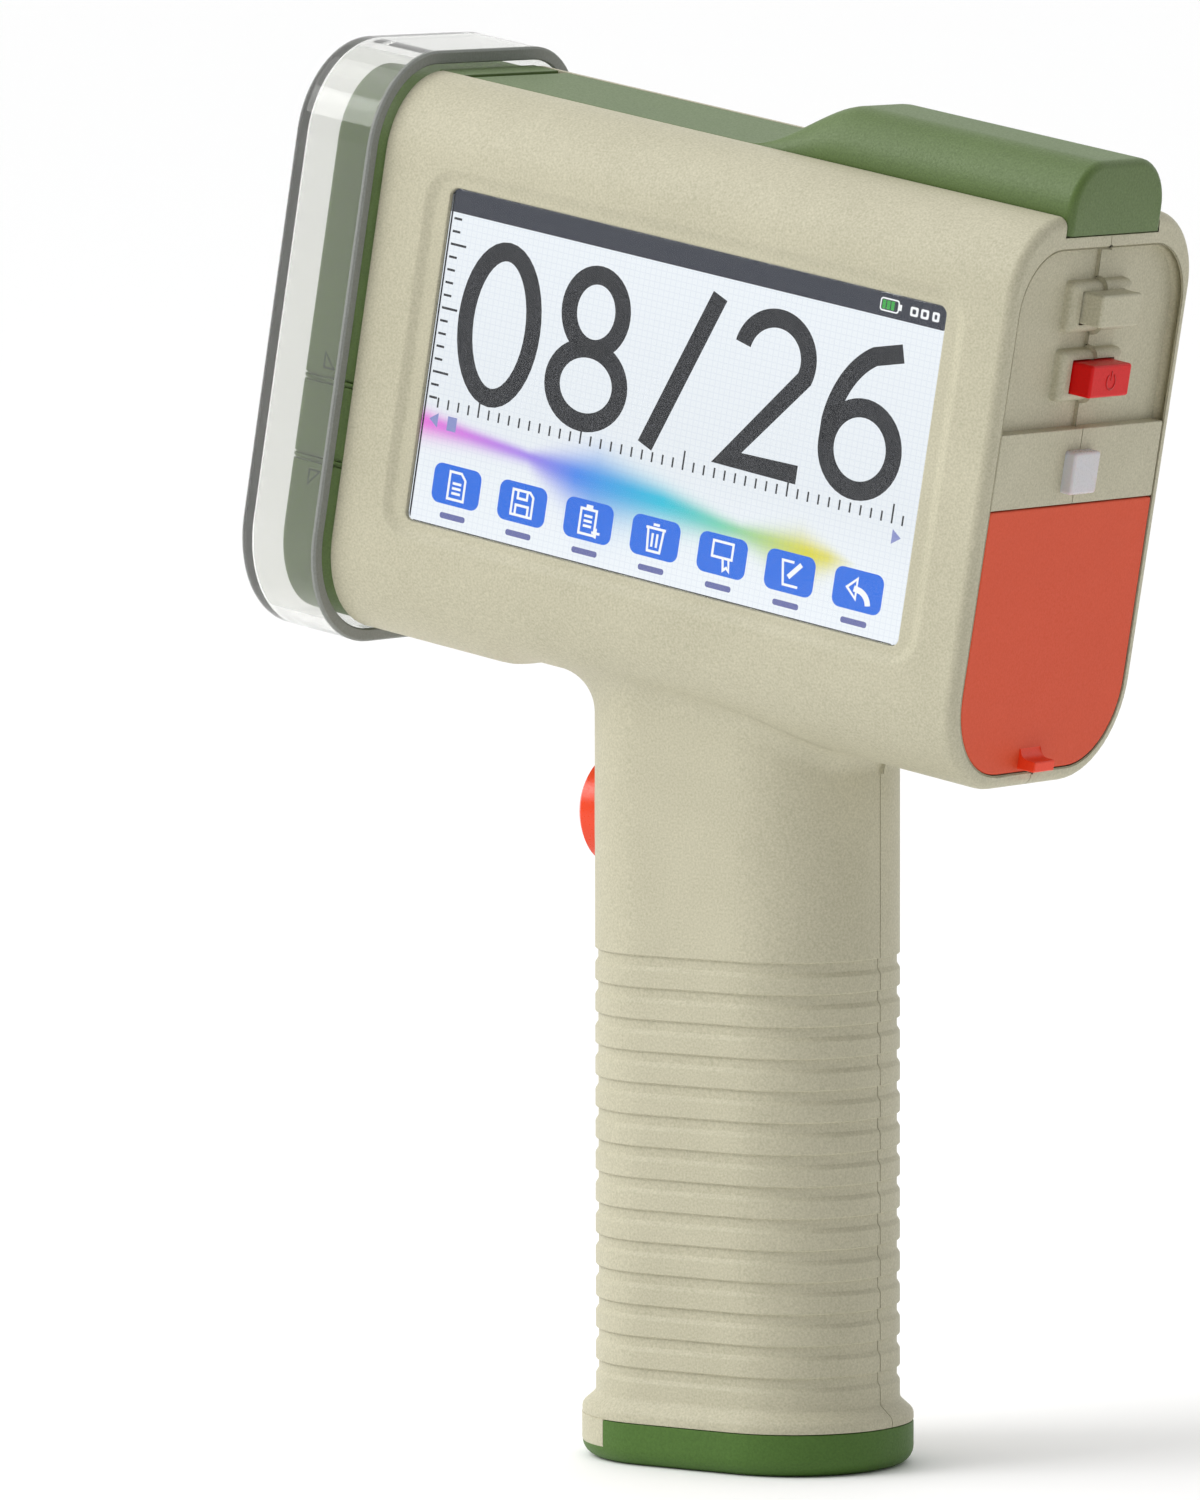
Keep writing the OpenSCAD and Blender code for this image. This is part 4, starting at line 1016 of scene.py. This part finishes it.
@dataclass(frozen=True)
class Nose:
    """Green nose frame with its engraved print marks, and the two rollers in it."""

    face: float = -71.3
    step: float = 0.8
    edge: float = 1.4
    swath: float = -14.6
    reach: float = 6.5
    roller_u: float = -66.9
    roller_r: float = 6.0
    roller_half: float = 7.0
    hub_r: float = 4.4
    encoder_w: float = 18.0
    guide_w: float = -36.0
    floor: float = -68.6
    n: int = 14

    def ring(self, inset: float) -> np.ndarray:
        """Outline loop with two engraved double lines across each side."""
        loop = HEAD.outline(-self.step - inset, self.n)
        h, k = HEAD.half - self.step - inset, self.n + 1
        marks = []
        for c in (self.swath - self.reach, self.swath + self.reach):
            for w in (c - 0.45, c + 0.45):
                marks += [(h, w - 0.24), (h - 0.5, w - 0.16), (h - 0.5, w + 0.16), (h, w + 0.24)]
        marks = np.array(marks)
        return np.concatenate([loop[:k], marks, loop[k:3 * k], marks[::-1] * (-1, 1), loop[3 * k:]])

    def rollers(self, paint: Finishes) -> None:
        """Grooved tyre and dished hub of each roller."""
        r, h = self.roller_r, self.roller_half
        tread = [(-h, self.hub_r), (-h, r - 0.3), (0.3 - h, r)]
        for v in np.arange(-5.5, 5.6, 1.1):
            tread += [(v - 0.15, r), (v - 0.08, r - 0.2), (v + 0.08, r - 0.2), (v + 0.15, r)]
        tread += [(h - 0.3, r), (h, r - 0.3), (h, self.hub_r), (-h, self.hub_r)]
        side = [(h, self.hub_r), (h, 4.1), (h - 0.6, 3.9), (h - 0.6, 2.8), (h, 2.6), (h, 1.55)]
        hub = [(-v, q) for v, q in side[::-1]] + side + [(-h, 1.55)]
        for body, w, stem in ((Body.ENCODER, self.encoder_w, "encoder"),
                              (Body.GUIDE, self.guide_w, "guide")):
            tyre, core = Skin(f"{stem}_tyre_visual"), Skin(f"{stem}_hub_visual")
            spun(tyre, np.array(tread), self.roller_u, w)
            spun(core, np.array(hub), self.roller_u, w)
            put(tyre.mesh(), Dress(body, "black_rubber", paint.rubber, (f"{stem}_tyre",)))
            put(core.mesh(), Dress(body, "hub_aluminium", paint.hub, (f"{stem}_hub",)))

    def build(self, paint: Finishes) -> None:
        """The frame with its three openings, the print marks and the rollers."""
        skin = Skin("nose_frame_visual")
        turn = roll(self.edge, 7)
        skin.sweep([self.ring(0)] * 2 + [self.ring(d) for _, d in turn], along(),
                   [-59.0, -61.0, *(self.face - turn[:, 0])])
        holes = [round_rect(10.4, -24.0, -5.2, 0.8, 0.8, 0, 5), round_rect(8.2, 11.6, 24.4, 0.8, 0.8, 0, 5),
                 round_rect(8.2, -42.4, -29.6, 0.8, 0.8, 0, 5)]
        skin.flat(self.ring(self.edge), holes, along(self.face))
        for hole, depth in zip(holes, (self.floor, -60.9, -60.9)):
            skin.sweep([hole, hole], along(), [self.face, depth])
        skin.flat(HEAD.outline(-self.step - 2.2, self.n), holes[:1], along(self.floor))
        tip = Skin("tip")
        soft_block(tip, (-61.5, -56.75), (-13.3, 13.3), (40.9, 43.2), 0.35, 0.12)
        skin.take(tip, upright)
        signs = Skin("print_marks")
        gap, stroke, side = 3.0, 0.32, HEAD.half - self.step + 0.05
        for sign in (1, -1):
            w = self.swath + sign * (self.reach + gap)
            mark = np.array([(-67.2, w - sign * 1.1), (-65.2, w - sign * 1.1), (-67.2, w + sign * 1.3)])
            for v in (-side, side):
                ribbon(signs, mark, stroke, across(v), closed=True)
        put(skin.mesh(), Dress(Body.CASING, "green_abs", paint.green, ("nose_frame",)))
        put(signs.mesh(), Dress(Body.CASING, "green_abs", paint.mark), solid=0.04)
        self.rollers(paint)


@dataclass(frozen=True)
class Cover:
    """Clear cap pushed over the nose."""

    rim: float = -62.0
    face: float = -78.0
    outer: float = 2.8
    inner: float = 0.8
    edge: float = 2.6
    inner_edge: float = 0.9
    wall: float = 2.0
    n: int = 16

    def build(self, paint: Finishes) -> None:
        """The cap, its outer and inner skins joined at the rim, and a grey band of painted shade over the
        rim.
        """
        skin = Skin("nose_cover_visual")
        out, ins = roll(self.edge, 9), roll(self.inner_edge, 5)
        shape = [(self.face + self.wall - a, self.inner - d) for a, d in ins[::-1]]
        shape += [(self.rim - 0.15, self.inner), (self.rim, self.inner + 0.15),
                  (self.rim, self.outer - 0.25), (self.rim - 0.25, self.outer)]
        shape += [(self.face - a, self.outer - d) for a, d in out]
        rings = [HEAD.outline(g, self.n) for _, g in shape]
        skin.sweep(rings, along(), [u for u, _ in shape])
        skin.flat(rings[0], [], along(shape[0][0]))
        skin.flat(rings[-1], [], along(shape[-1][0]))
        put(skin.mesh(), Dress(Body.COVER, "clear_cover", paint.cover, ("nose_cover",)))
        # grey band round the rim: painted shade, for the darker surround that the clear edge shows
        lip = Skin("cover_rim_shade")
        shape = [(self.rim - 0.7, self.outer + 0.06), (self.rim - 0.25, self.outer + 0.06),
                 (self.rim + 0.06, self.outer - 0.25), (self.rim + 0.06, self.inner + 0.15),
                 (self.rim - 0.15, self.inner - 0.06), (self.rim - 0.5, self.inner - 0.06)]
        lip.sweep([HEAD.outline(g, self.n) for _, g in shape], along(), [u for u, _ in shape])
        put(lip.mesh(), Dress(Body.COVER, "clear_cover", paint.lip), solid=0.04)


@dataclass(frozen=True)
class RearPanel:
    """Door, buttons and light on the rear end."""

    rear: float = 60.2
    door_wall: float = 2.2
    door_edge: float = 0.3
    pin: tuple[float, float] = (58.2, -5.2)
    tab_v: float = -1.5
    key_proud: float = 3.7
    key_half: tuple[float, float] = (5.7, 2.6)
    mode_w: float = 28.7
    power_w: float = 17.5
    light_proud: float = 2.0

    def door(self, paint: Finishes) -> None:
        """The door with its knuckle, and its pull tab."""
        door = Skin("battery_door_visual")
        turn = roll(self.door_edge, 4)
        rings = [round_rect(23.4, -45.9, -3.1, 13.4, 0.4, -d, 14) for d in (0, *turn[:, 1])]
        inner = self.rear - self.door_wall
        door.flat(rings[0], [], along(inner))
        door.sweep(rings, along(), [inner, *(self.rear + turn[:, 0])])
        door.flat(rings[-1], [], along(self.rear))
        end, bore, knuckle = 23.2, 0.85, 1.85
        tube = [(-end, bore), (-end, knuckle), (end, knuckle), (end, bore), (-end, bore)]
        spun(door, np.array(tube), *self.pin, 28)
        put(door.mesh(), Dress(Body.DOOR, "orange_door", paint.door, ("battery_door",)))
        tab = Skin("door_tab")
        side = np.concatenate([[(59.9, -45.3), (63.1, -45.3)], arc((63.1, -45.0), 0.3, -90, 0, 4),
                               arc((63.1, -43.9), 0.3, 0, 90, 4), arc((62.0, -41.8), 1.8, -90, -170, 8),
                               [(59.9, -41.6)]])
        rows = [(self.tab_v + v, d) for v, d in ((-2.9, 0.25), (-2.75, 0.0), (2.75, 0.0), (2.9, 0.25))]
        middle = side.mean(0)
        shaped = [middle + (side - middle) * (1 - d / 2.0) for _, d in rows]
        tab.sweep(shaped, across(0), [v for v, _ in rows])
        tab.flat(shaped[0], [], across(rows[0][0]))
        tab.flat(shaped[-1], [], across(rows[-1][0]))
        put(tab.mesh(), Dress(Body.DOOR, "orange_door", paint.tab))

    def keys(self, paint: Finishes) -> None:
        """The two buttons, and the power sign on the red one."""
        wide, high = self.key_half
        mode = Dress(Body.MODE, "beige_abs", paint.beige, ("mode_button",))
        power = Dress(Body.POWER, "red_button", paint.red, ("power_button",))
        ends = (52.0, self.rear + self.key_proud)
        for w, dress in ((self.mode_w, mode), (self.power_w, power)):
            key = Skin(dress.nodes[0] + "_visual")
            soft_block(key, ends, (-wide, wide), (w - high, w + high), 0.5, 0.45)
            put(key.mesh(), dress)
        sign, stroke, skin_up = Skin("power_sign"), 0.34, 0.05
        lift = along(self.rear + self.key_proud + skin_up)
        ribbon(sign, arc((0, self.power_w - 0.1), 1.25, 125, 415, 24), stroke, lift)
        ribbon(sign, np.array([(0.0, self.power_w + 0.1), (0.0, self.power_w + 1.6)]), stroke, lift)
        put(sign.mesh(), Dress(Body.POWER, "red_button", paint.sign), solid=skin_up)

    def build(self, paint: Finishes) -> None:
        """All pieces of the rear end that move or differ in colour."""
        self.door(paint)
        self.keys(paint)
        pipe = Skin("light_block")
        soft_block(pipe, (50.0, self.rear + self.light_proud), (-4.1, 3.3), (-1.0, 5.8), 0.6, 0.5)
        put(pipe.mesh(), Dress(Body.CASING, "light_pipe", paint.pipe, ("light_pipe",)))


@dataclass(frozen=True)
class Trigger:
    """Orange push cap at the grip's front."""

    face: float = -25.5
    proud: float = 4.5
    side: float = 1.0
    radius: float = 8.6
    z: float = 103.3
    flange: float = 9.6
    flange_front: float = -18.2
    flange_back: float = -16.6
    stem: float = 2.0
    stem_end: float = -4.3

    def build(self, paint: Finishes) -> None:
        """The cap with its stop flange and stem, turned about its own axis."""
        rise = self.proud - self.side
        ball = (self.radius ** 2 + rise ** 2) / (2 * rise)
        t = np.linspace(0.0, math.asin(min(1.0, self.radius / ball)), 26)
        x = self.face - self.proud + ball * (1 - np.cos(t))
        axis = 0.002
        profile = [(a, b) for a, b in zip(x, np.maximum(ball * np.sin(t), axis))]
        profile += [(self.flange_front, self.radius), (self.flange_front, self.flange),
                    (self.flange_back, self.flange), (self.flange_back, self.stem),
                    (self.stem_end, self.stem), (self.stem_end, axis)]
        q = np.array(profile)
        a = np.linspace(0, 2 * np.pi, 64, endpoint=False)
        rows = np.stack([q[:, :1] + 0 * a, q[:, 1:] * np.cos(a), self.z + q[:, 1:] * np.sin(a)], -1)
        skin = Skin("trigger_visual")
        skin.grid(rows, closed=True)
        put(skin.mesh(upright), Dress(Body.TRIGGER, "orange_trigger", paint.trigger, ("trigger",)))


@dataclass(frozen=True)
class Display:
    """Cover glass and the lit page behind it: s runs across, q down, both 0 to 1."""

    wide: float = 95.0
    high: float = 53.9
    depth: float = -24.02

    def at(self, layer: int) -> Lift:
        """Lift that lays page millimetres (right, down) on one of the page's layers."""
        return lambda p: np.stack([p[:, 0] - self.wide / 2, np.full(len(p), self.depth - LAYER * layer),
                                   self.high / 2 - p[:, 1]], 1)

    def page(self) -> None:
        """White page with the sweep of colour, painted per point by smooth formulas."""
        cols, rows = 260, 150
        s, q = np.meshgrid(np.linspace(0, 1, cols), np.linspace(0, 1, rows))
        skin = Skin("page")
        p = np.stack([s * self.wide, q * self.high], -1).reshape(-1, 2)
        skin.grid(self.at(0)(p).reshape(rows, cols, 3))
        mesh = skin.mesh(weld=0.0)
        knots = np.array([0.0, 0.2, 0.32, 0.5, 0.62, 0.8, 1.0])
        tones = np.array([linear(c)[:3] for c in ("#f07be0", "#b58cf0", "#4d8df0", "#2cc6e0", "#7fd8b8",
                                                  "#e4dc3c", "#f2f0c8")])
        mid = np.interp(s, knots, [0.70, 0.725, 0.745, 0.76, 0.785, 0.80, 0.80])
        half = np.interp(s, [0, 0.1, 0.22, 0.36, 0.5, 0.66, 0.78, 0.86, 0.9],
                         [0.03, 0.02, 0.015, 0.075, 0.045, 0.02, 0.05, 0.02, 0.0])
        off = np.where(q < mid, mid - q, (q - mid) * 0.62)
        strong = np.exp(-off ** 2 / np.maximum(half, 1e-4) ** 2)
        strong = np.clip(strong * np.clip((0.9 - s) / 0.06, 0, 1), 0, 1)[..., None]
        tone = np.stack([np.interp(s, knots, tones[:, k]) for k in range(3)], -1)
        cool = np.array([0.93, 0.965, 1.0])
        shade = np.interp(q, [0, 0.65, 0.8, 1], [1.0, 0.94, 0.98, 1.0])[..., None] * cool
        colour = shade * (1 - strong) + tone * strong
        place = np.zeros(len(mesh.vertices) * 3)
        mesh.vertices.foreach_get("co", place)
        local = HEAD.local(place.reshape(-1, 3) / MM)
        i = np.clip(np.rint((local[:, 0] / self.wide + 0.5) * (cols - 1)).astype(int), 0, cols - 1)
        j = np.clip(np.rint((0.5 - local[:, 2] / self.high) * (rows - 1)).astype(int), 0, rows - 1)
        paint = mesh.color_attributes.new("paint", "FLOAT_COLOR", "POINT")
        paint.data.foreach_set("color", np.concatenate([colour[j, i], np.ones((len(i), 1))], 1).ravel())
        corner = np.zeros(len(mesh.loops), int)
        mesh.loops.foreach_get("vertex_index", corner)
        uv = np.stack([i / (cols - 1), j / (rows - 1)], 1)[corner]
        mesh.uv_layers.new(name="page").data.foreach_set("uv", uv.ravel())
        put(mesh, Dress(Body.CASING, "display", Canvas(power=PAGE_POWER).build()))

    def bar(self, skin: Skin, s0: float, q0: float, s1: float, q1: float, layer: int,
            r: float = 0.0) -> None:
        """Rectangle on the page, with round corners where r (mm) is given."""
        x0, x1, y0, y1 = s0 * self.wide, s1 * self.wide, q0 * self.high, q1 * self.high
        loop = round_rect((x1 - x0) / 2, y0, y1, max(r, 0.01), max(r, 0.01), 0, 6, (x0 + x1) / 2)
        skin.flat(loop, [], self.at(layer))

    def glyphs(self, skin: Skin) -> None:
        """Large sample date code in plain strokes: 0 8 / 2 6."""

        def oval(x: float, y: float, a: float, b: float, lo: float, hi: float) -> np.ndarray:
            """Arc of an ellipse in the cell of one figure, from lo to hi degrees."""
            t = np.radians(np.linspace(lo, hi, 40))
            return np.stack([x + a * np.cos(t), y - b * np.sin(t)], 1)

        zero = oval(0.5, 0.5, 0.43, 0.47, 0, 351)
        two = np.concatenate([oval(0.5, 0.28, 0.42, 0.25, 170, -20), [(0.08, 0.965), (0.97, 0.965)]])
        six = np.concatenate([[(0.86, 0.06)], oval(0.86, 0.68, 0.79, 0.62, 115, 170),
                              oval(0.5, 0.71, 0.42, 0.26, 180, 540)])
        eight_top, eight_low = oval(0.5, 0.27, 0.34, 0.235, 0, 351), oval(0.5, 0.74, 0.43, 0.235, 0, 351)
        slash = np.array([(0.18, 1.02), (0.85, -0.02)])
        wide, high, stroke, head = 15.2, 25.2, 3.0, 0.135
        for s, path, closed in ((0.045, zero, True), (0.235, eight_top, True), (0.235, eight_low, True),
                                (0.42, slash, False), (0.60, two, False), (0.79, six, False)):
            p = path * (wide, high) + (s * self.wide, head * self.high)
            ribbon(skin, p, stroke, self.at(3), closed)

    def rulers(self, skin: Skin) -> None:
        """Ticks along the left and lower edge of the page, every tenth one long."""
        for i in range(46):
            s = 0.022 + 0.0211 * i
            tall = 0.058 if i % 10 == 4 else 0.03
            self.bar(skin, s, 0.655 - tall, s + 0.0034, 0.655, 2)
        for i in range(15):
            q = 0.085 + 0.0385 * i
            self.bar(skin, 0.004, q, 0.036 if i % 5 == 2 else 0.02, q + 0.007, 2)

    def icons(self, blue: Skin, white: Skin, label: Skin) -> None:
        """Seven round-cornered keys with plain pictograms and a grey bar below each."""
        stroke = 0.42
        lift = self.at(4)
        for k in range(7):
            s = 0.085 + 0.137 * k
            x, y = s * self.wide, 0.872 * self.high
            self.bar(blue, s - 0.049, 0.812, s + 0.049, 0.932, 2, 1.5)
            self.bar(label, s - 0.026, 0.957, s + 0.026, 0.975, 2, 0.4)
            line = lambda *p: np.array([(x + a, y + b) for a, b in p])
            box = lambda a, b, c, d: line((a, b), (c, b), (c, d), (a, d))
            if k == 0:
                sheet = line((-1.5, -2.2), (0.7, -2.2), (1.6, -1.2), (1.6, 2.2), (-1.5, 2.2))
                ribbon(white, sheet, stroke, lift, True)
                for b in (-0.4, 0.4, 1.2):
                    ribbon(white, line((-0.8, b), (0.9, b)), stroke, lift)
            elif k == 1:
                ribbon(white, line((-2, -2), (1.3, -2), (2, -1.3), (2, 2), (-2, 2)), stroke, lift, True)
                ribbon(white, box(-1.0, -2, 0.8, -0.7), stroke, lift, True)
                ribbon(white, box(-1.2, 0.4, 1.2, 2), stroke, lift, True)
            elif k == 2:
                ribbon(white, box(-1.6, -1.8, 1.4, 2.2), stroke, lift, True)
                ribbon(white, line((-0.7, -2.1), (0.6, -2.1)), 0.9, lift)
                for b in (-0.7, 0.1, 0.9):
                    ribbon(white, line((-0.9, b), (0.7, b)), stroke, lift)
                ribbon(white, line((0.9, 1.7), (2.5, 1.7)), stroke, self.at(5))
                ribbon(white, line((1.7, 0.9), (1.7, 2.5)), stroke, self.at(6))
            elif k == 3:
                ribbon(white, line((-1.9, -1.5), (1.9, -1.5)), stroke, lift)
                ribbon(white, line((-0.6, -2.1), (0.6, -2.1)), stroke, lift)
                ribbon(white, line((-1.5, -1.4), (-1.2, 2.2), (1.2, 2.2), (1.5, -1.4)), stroke, lift)
                for a in (-0.5, 0.4):
                    ribbon(white, line((a, -0.7), (a, 1.5)), stroke, lift)
            elif k == 4:
                ribbon(white, box(-1.9, -2.1, 1.9, 0.4), stroke, lift, True)
                ribbon(white, line((0.2, 0.4), (0.5, 2.3), (1.1, 1.8), (1.6, 2.3), (1.3, 0.4)), stroke, lift)
            elif k == 5:
                ribbon(white, line((0.6, -1.8), (-1.6, -1.8), (-1.0, 2.0), (1.8, 2.0)), stroke, lift)
                ribbon(white, line((-0.2, 0.7), (2.0, -1.7)), 0.8, lift)
            else:
                ribbon(white, line((-2.1, -0.2), (-0.3, -1.8), (-0.3, 1.4)), stroke, lift, True)
                tail = np.concatenate([line((-0.8, -0.2)), arc((x - 0.3, y + 2.4), 2.5, -80, -8, 10)])
                ribbon(white, tail, 1.0, lift)

    def build(self, paint: Finishes) -> None:
        """Glass, page and every mark on it."""
        glass = Skin("touch_glass_visual")
        shape = [(-24.25, 0.0), (-24.65, 0.0), (-24.75, 0.04), (-24.8, 0.15)]
        rings = [round_rect(47.65, -27.0, 27.0, 1.2, 1.2, -d, 8) for _, d in shape]
        glass.sweep(rings, across(0), [v for v, _ in shape])
        glass.flat(rings[0], [], across(shape[0][0]))
        glass.flat(rings[-1], [], across(shape[-1][0]))
        put(glass.mesh(), Dress(Body.CASING, "screen_glass", paint.glass, ("touch_glass",)))
        self.page()
        frame = Skin("page_frame")
        frame.flat(round_rect(48.4, -27.6, 27.6, 1.5, 1.5), [], across(self.depth + 0.05))
        put(frame.mesh(), Dress(Body.CASING, "display", paint.panel), solid=0.9)
        names = ("page_header", "page_black", "page_keys", "page_signs", "page_labels", "page_charge",
                 "page_arrows")
        dark, black, blue, white, label, green, lilac = (Skin(name) for name in names)
        self.bar(dark, 0.0, 0.0, 1.0, 0.07, 1)
        self.glyphs(black)
        self.rulers(black)
        self.icons(blue, white, label)
        self.bar(white, 0.868, 0.014, 0.906, 0.054, 2, 0.5)
        self.bar(dark, 0.8705, 0.0185, 0.9035, 0.0495, 3, 0.3)
        self.bar(white, 0.906, 0.025, 0.911, 0.043, 2)
        for i in range(3):
            self.bar(green, 0.873 + 0.0085 * i, 0.021, 0.8795 + 0.0085 * i, 0.047, 4)
        for i, (a, b) in enumerate(((0.928, 0.944), (0.949, 0.965), (0.972, 0.986))):
            self.bar(white, a, 0.022, b, 0.05, 2, 0.3)
            self.bar(dark, a + 0.0045, 0.029, b - 0.0045, 0.043, 3, 0.2)
        for a, b in ((0.02, -1), (0.965, 1)):
            x, y = a * self.wide, 0.692 * self.high
            arrow = np.array([(x - 0.8 * b, y - 1.2), (x + 0.9 * b, y), (x - 0.8 * b, y + 1.2)])
            lilac.flat(arrow[::b], [], self.at(2))
        self.bar(lilac, 0.048, 0.672, 0.067, 0.715, 2)
        for skin, code in ((dark, "#383b45"), (black, "#2a2b2e"), (blue, "#1f6fe6"), (white, "#ffffff"),
                           (label, "#6a6fa8"), (green, "#3fae49"), (lilac, "#8f96cc")):
            light = Lit(skin.name, code, power=PAGE_POWER).build()
            put(skin.mesh(weld=0.0005), Dress(Body.CASING, "display", light))


def dress_cad(frame: dict, paint: Finishes) -> None:
    """Gives the CAD nodes that stay visible their finishes, and breaks the edges of the large ones."""
    broken_edge = 0.3
    large = ("ink_cartridge", "cartridge_cradle", "battery_pack", "battery_tray", "trigger_guide")
    inside_parts = {
        paint.steel: ("lid_hinge_pin", "door_hinge_pin", "board_screws", "encoder_axle", "guide_axle",
                      "usb_port", "trigger_spring", "foot_screws", "shell_screws", "encoder_disc"),
        paint.black: ("cartridge_cradle", "battery_tray", "trigger_guide", "trigger_switch",
                      "button_switches", "board_chips", "encoder_sensor"),
        paint.ink: ("ink_cartridge",), paint.wrap: ("battery_pack",), paint.rubber: ("display_gasket",),
        paint.board: ("main_board", "button_board", "contact_board"), paint.panel: ("display_panel",),
        paint.film: ("display_cable", "nozzle_plate"), paint.gold: ("contact_pins", "battery_contacts"),
        paint.led: ("status_led",)}
    for material, names in inside_parts.items():
        for name in names:
            node = frame["nodes"][name]
            node.data.materials.clear()
            node.data.materials.append(material)
            if name in large:
                edge = node.modifiers.new("edge", "BEVEL")
                edge.width, edge.segments, edge.limit_method = broken_edge * MM, 2, "ANGLE"


# ---------- Studio and start ----------


@dataclass(frozen=True)
class Studio:
    """Pale floor, soft key from the upper left front, wide fill and a long lens.

    azimuth, rise and roll turn the camera, in degrees; reach is its distance from aim, in metres.
    """

    azimuth: float = 34.71
    rise: float = 4.94
    roll: float = -0.11
    reach: float = 2.01037
    lens: float = 299.38
    aim: tuple[float, float, float] = (-0.0286, 0.0, 0.11264)
    fill_from: tuple[float, float, float] = (-0.57, 0.82, 0.1)
    fill: tuple[float, float] = (0.38, 1.04)
    lit_height: float = 0.12

    def floor(self) -> None:
        """Wide matt floor."""
        mesh = bpy.data.meshes.new("floor")
        mesh.from_pydata([(-30, -30, 0), (30, -30, 0), (30, 30, 0), (-30, 30, 0)], [], [(0, 1, 2, 3)])
        ground = bpy.data.objects.new("floor", mesh)
        bpy.context.scene.collection.objects.link(ground)
        n = Nodes("studio_floor")
        n.fix(Base_Color=linear("#fbfbfb"), Roughness=0.7)
        mesh.materials.append(n.material)

    def world(self) -> None:
        """White surround that grows brighter towards one side."""
        world = bpy.data.worlds.new("studio")
        bpy.context.scene.world = world
        world.use_nodes = True
        tree = world.node_tree
        kinds = ("ShaderNodeTexCoord", "ShaderNodeVectorMath", "ShaderNodeMapRange")
        coord, dot, ramp = (tree.nodes.new(kind) for kind in kinds)
        dot.operation = "DOT_PRODUCT"
        dot.inputs[1].default_value = self.fill_from
        for key, value in (("From Min", -0.3), ("From Max", 0.55), ("To Min", self.fill[0]),
                           ("To Max", self.fill[1])):
            ramp.inputs[key].default_value = value
        tree.links.new(coord.outputs["Generated"], dot.inputs[0])
        tree.links.new(dot.outputs["Value"], ramp.inputs["Value"])
        tree.links.new(ramp.outputs["Result"], tree.nodes["Background"].inputs["Strength"])
        tree.nodes["Background"].inputs["Color"].default_value = (1, 1, 1, 1)
        bpy.context.scene.view_settings.view_transform = "Standard"

    def lamps(self) -> None:
        """Area key and a soft sun, both turned to the printer."""
        for name, kind, spot, size, power in (("key", "AREA", (-1.1, -1.4, 1.3), 1.0, 17.0),
                                              ("sky", "SUN", (-0.55, -0.45, 1.2), 0.9, 1.25)):
            data = bpy.data.lights.new(name, kind)
            data.energy = power
            setattr(data, "size" if kind == "AREA" else "angle", size)
            lamp = bpy.data.objects.new(name, data)
            lamp.location = spot
            lamp.rotation_mode = "QUATERNION"
            away = Vector(spot) - Vector((0, 0, self.lit_height))
            lamp.rotation_quaternion = away.to_track_quat("Z", "Y")
            bpy.context.scene.collection.objects.link(lamp)

    def camera(self) -> None:
        """Long lens on the screen side, a little above the middle."""
        azimuth, rise, turn = (math.radians(a) for a in (self.azimuth, self.rise, self.roll))
        flat = math.cos(rise)
        back = Vector((math.sin(azimuth) * flat, -math.cos(azimuth) * flat, math.sin(rise)))
        right = Vector((math.cos(azimuth), math.sin(azimuth), 0))
        up = back.cross(right)
        side = right * math.cos(turn) + up * math.sin(turn)
        top = up * math.cos(turn) - right * math.sin(turn)
        data = bpy.data.cameras.new("camera")
        data.lens, data.sensor_width, data.clip_end = self.lens, 36.0, 50.0
        camera = bpy.data.objects.new("camera", data)
        camera.matrix_world = Matrix((side, top, back)).transposed().to_4x4()
        camera.location = Vector(self.aim) + back * self.reach
        bpy.context.scene.collection.objects.link(camera)
        bpy.context.scene.camera = camera

    def build(self) -> None:
        """Floor, surround, lamps and camera."""
        self.floor()
        self.world()
        self.lamps()
        self.camera()


def main() -> None:
    logging.basicConfig(level=logging.INFO, format="%(name)s %(message)s")
    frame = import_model()
    paint = Finishes()
    for piece in (Casing(), Foot(), Lid(), Nose(), Cover(), RearPanel(), Trigger(), Display()):
        LOG.info("building %s", type(piece).__name__)
        piece.build(paint)
    dress_cad(frame, paint)
    Studio().build()


if __name__ == "__main__":
    main()
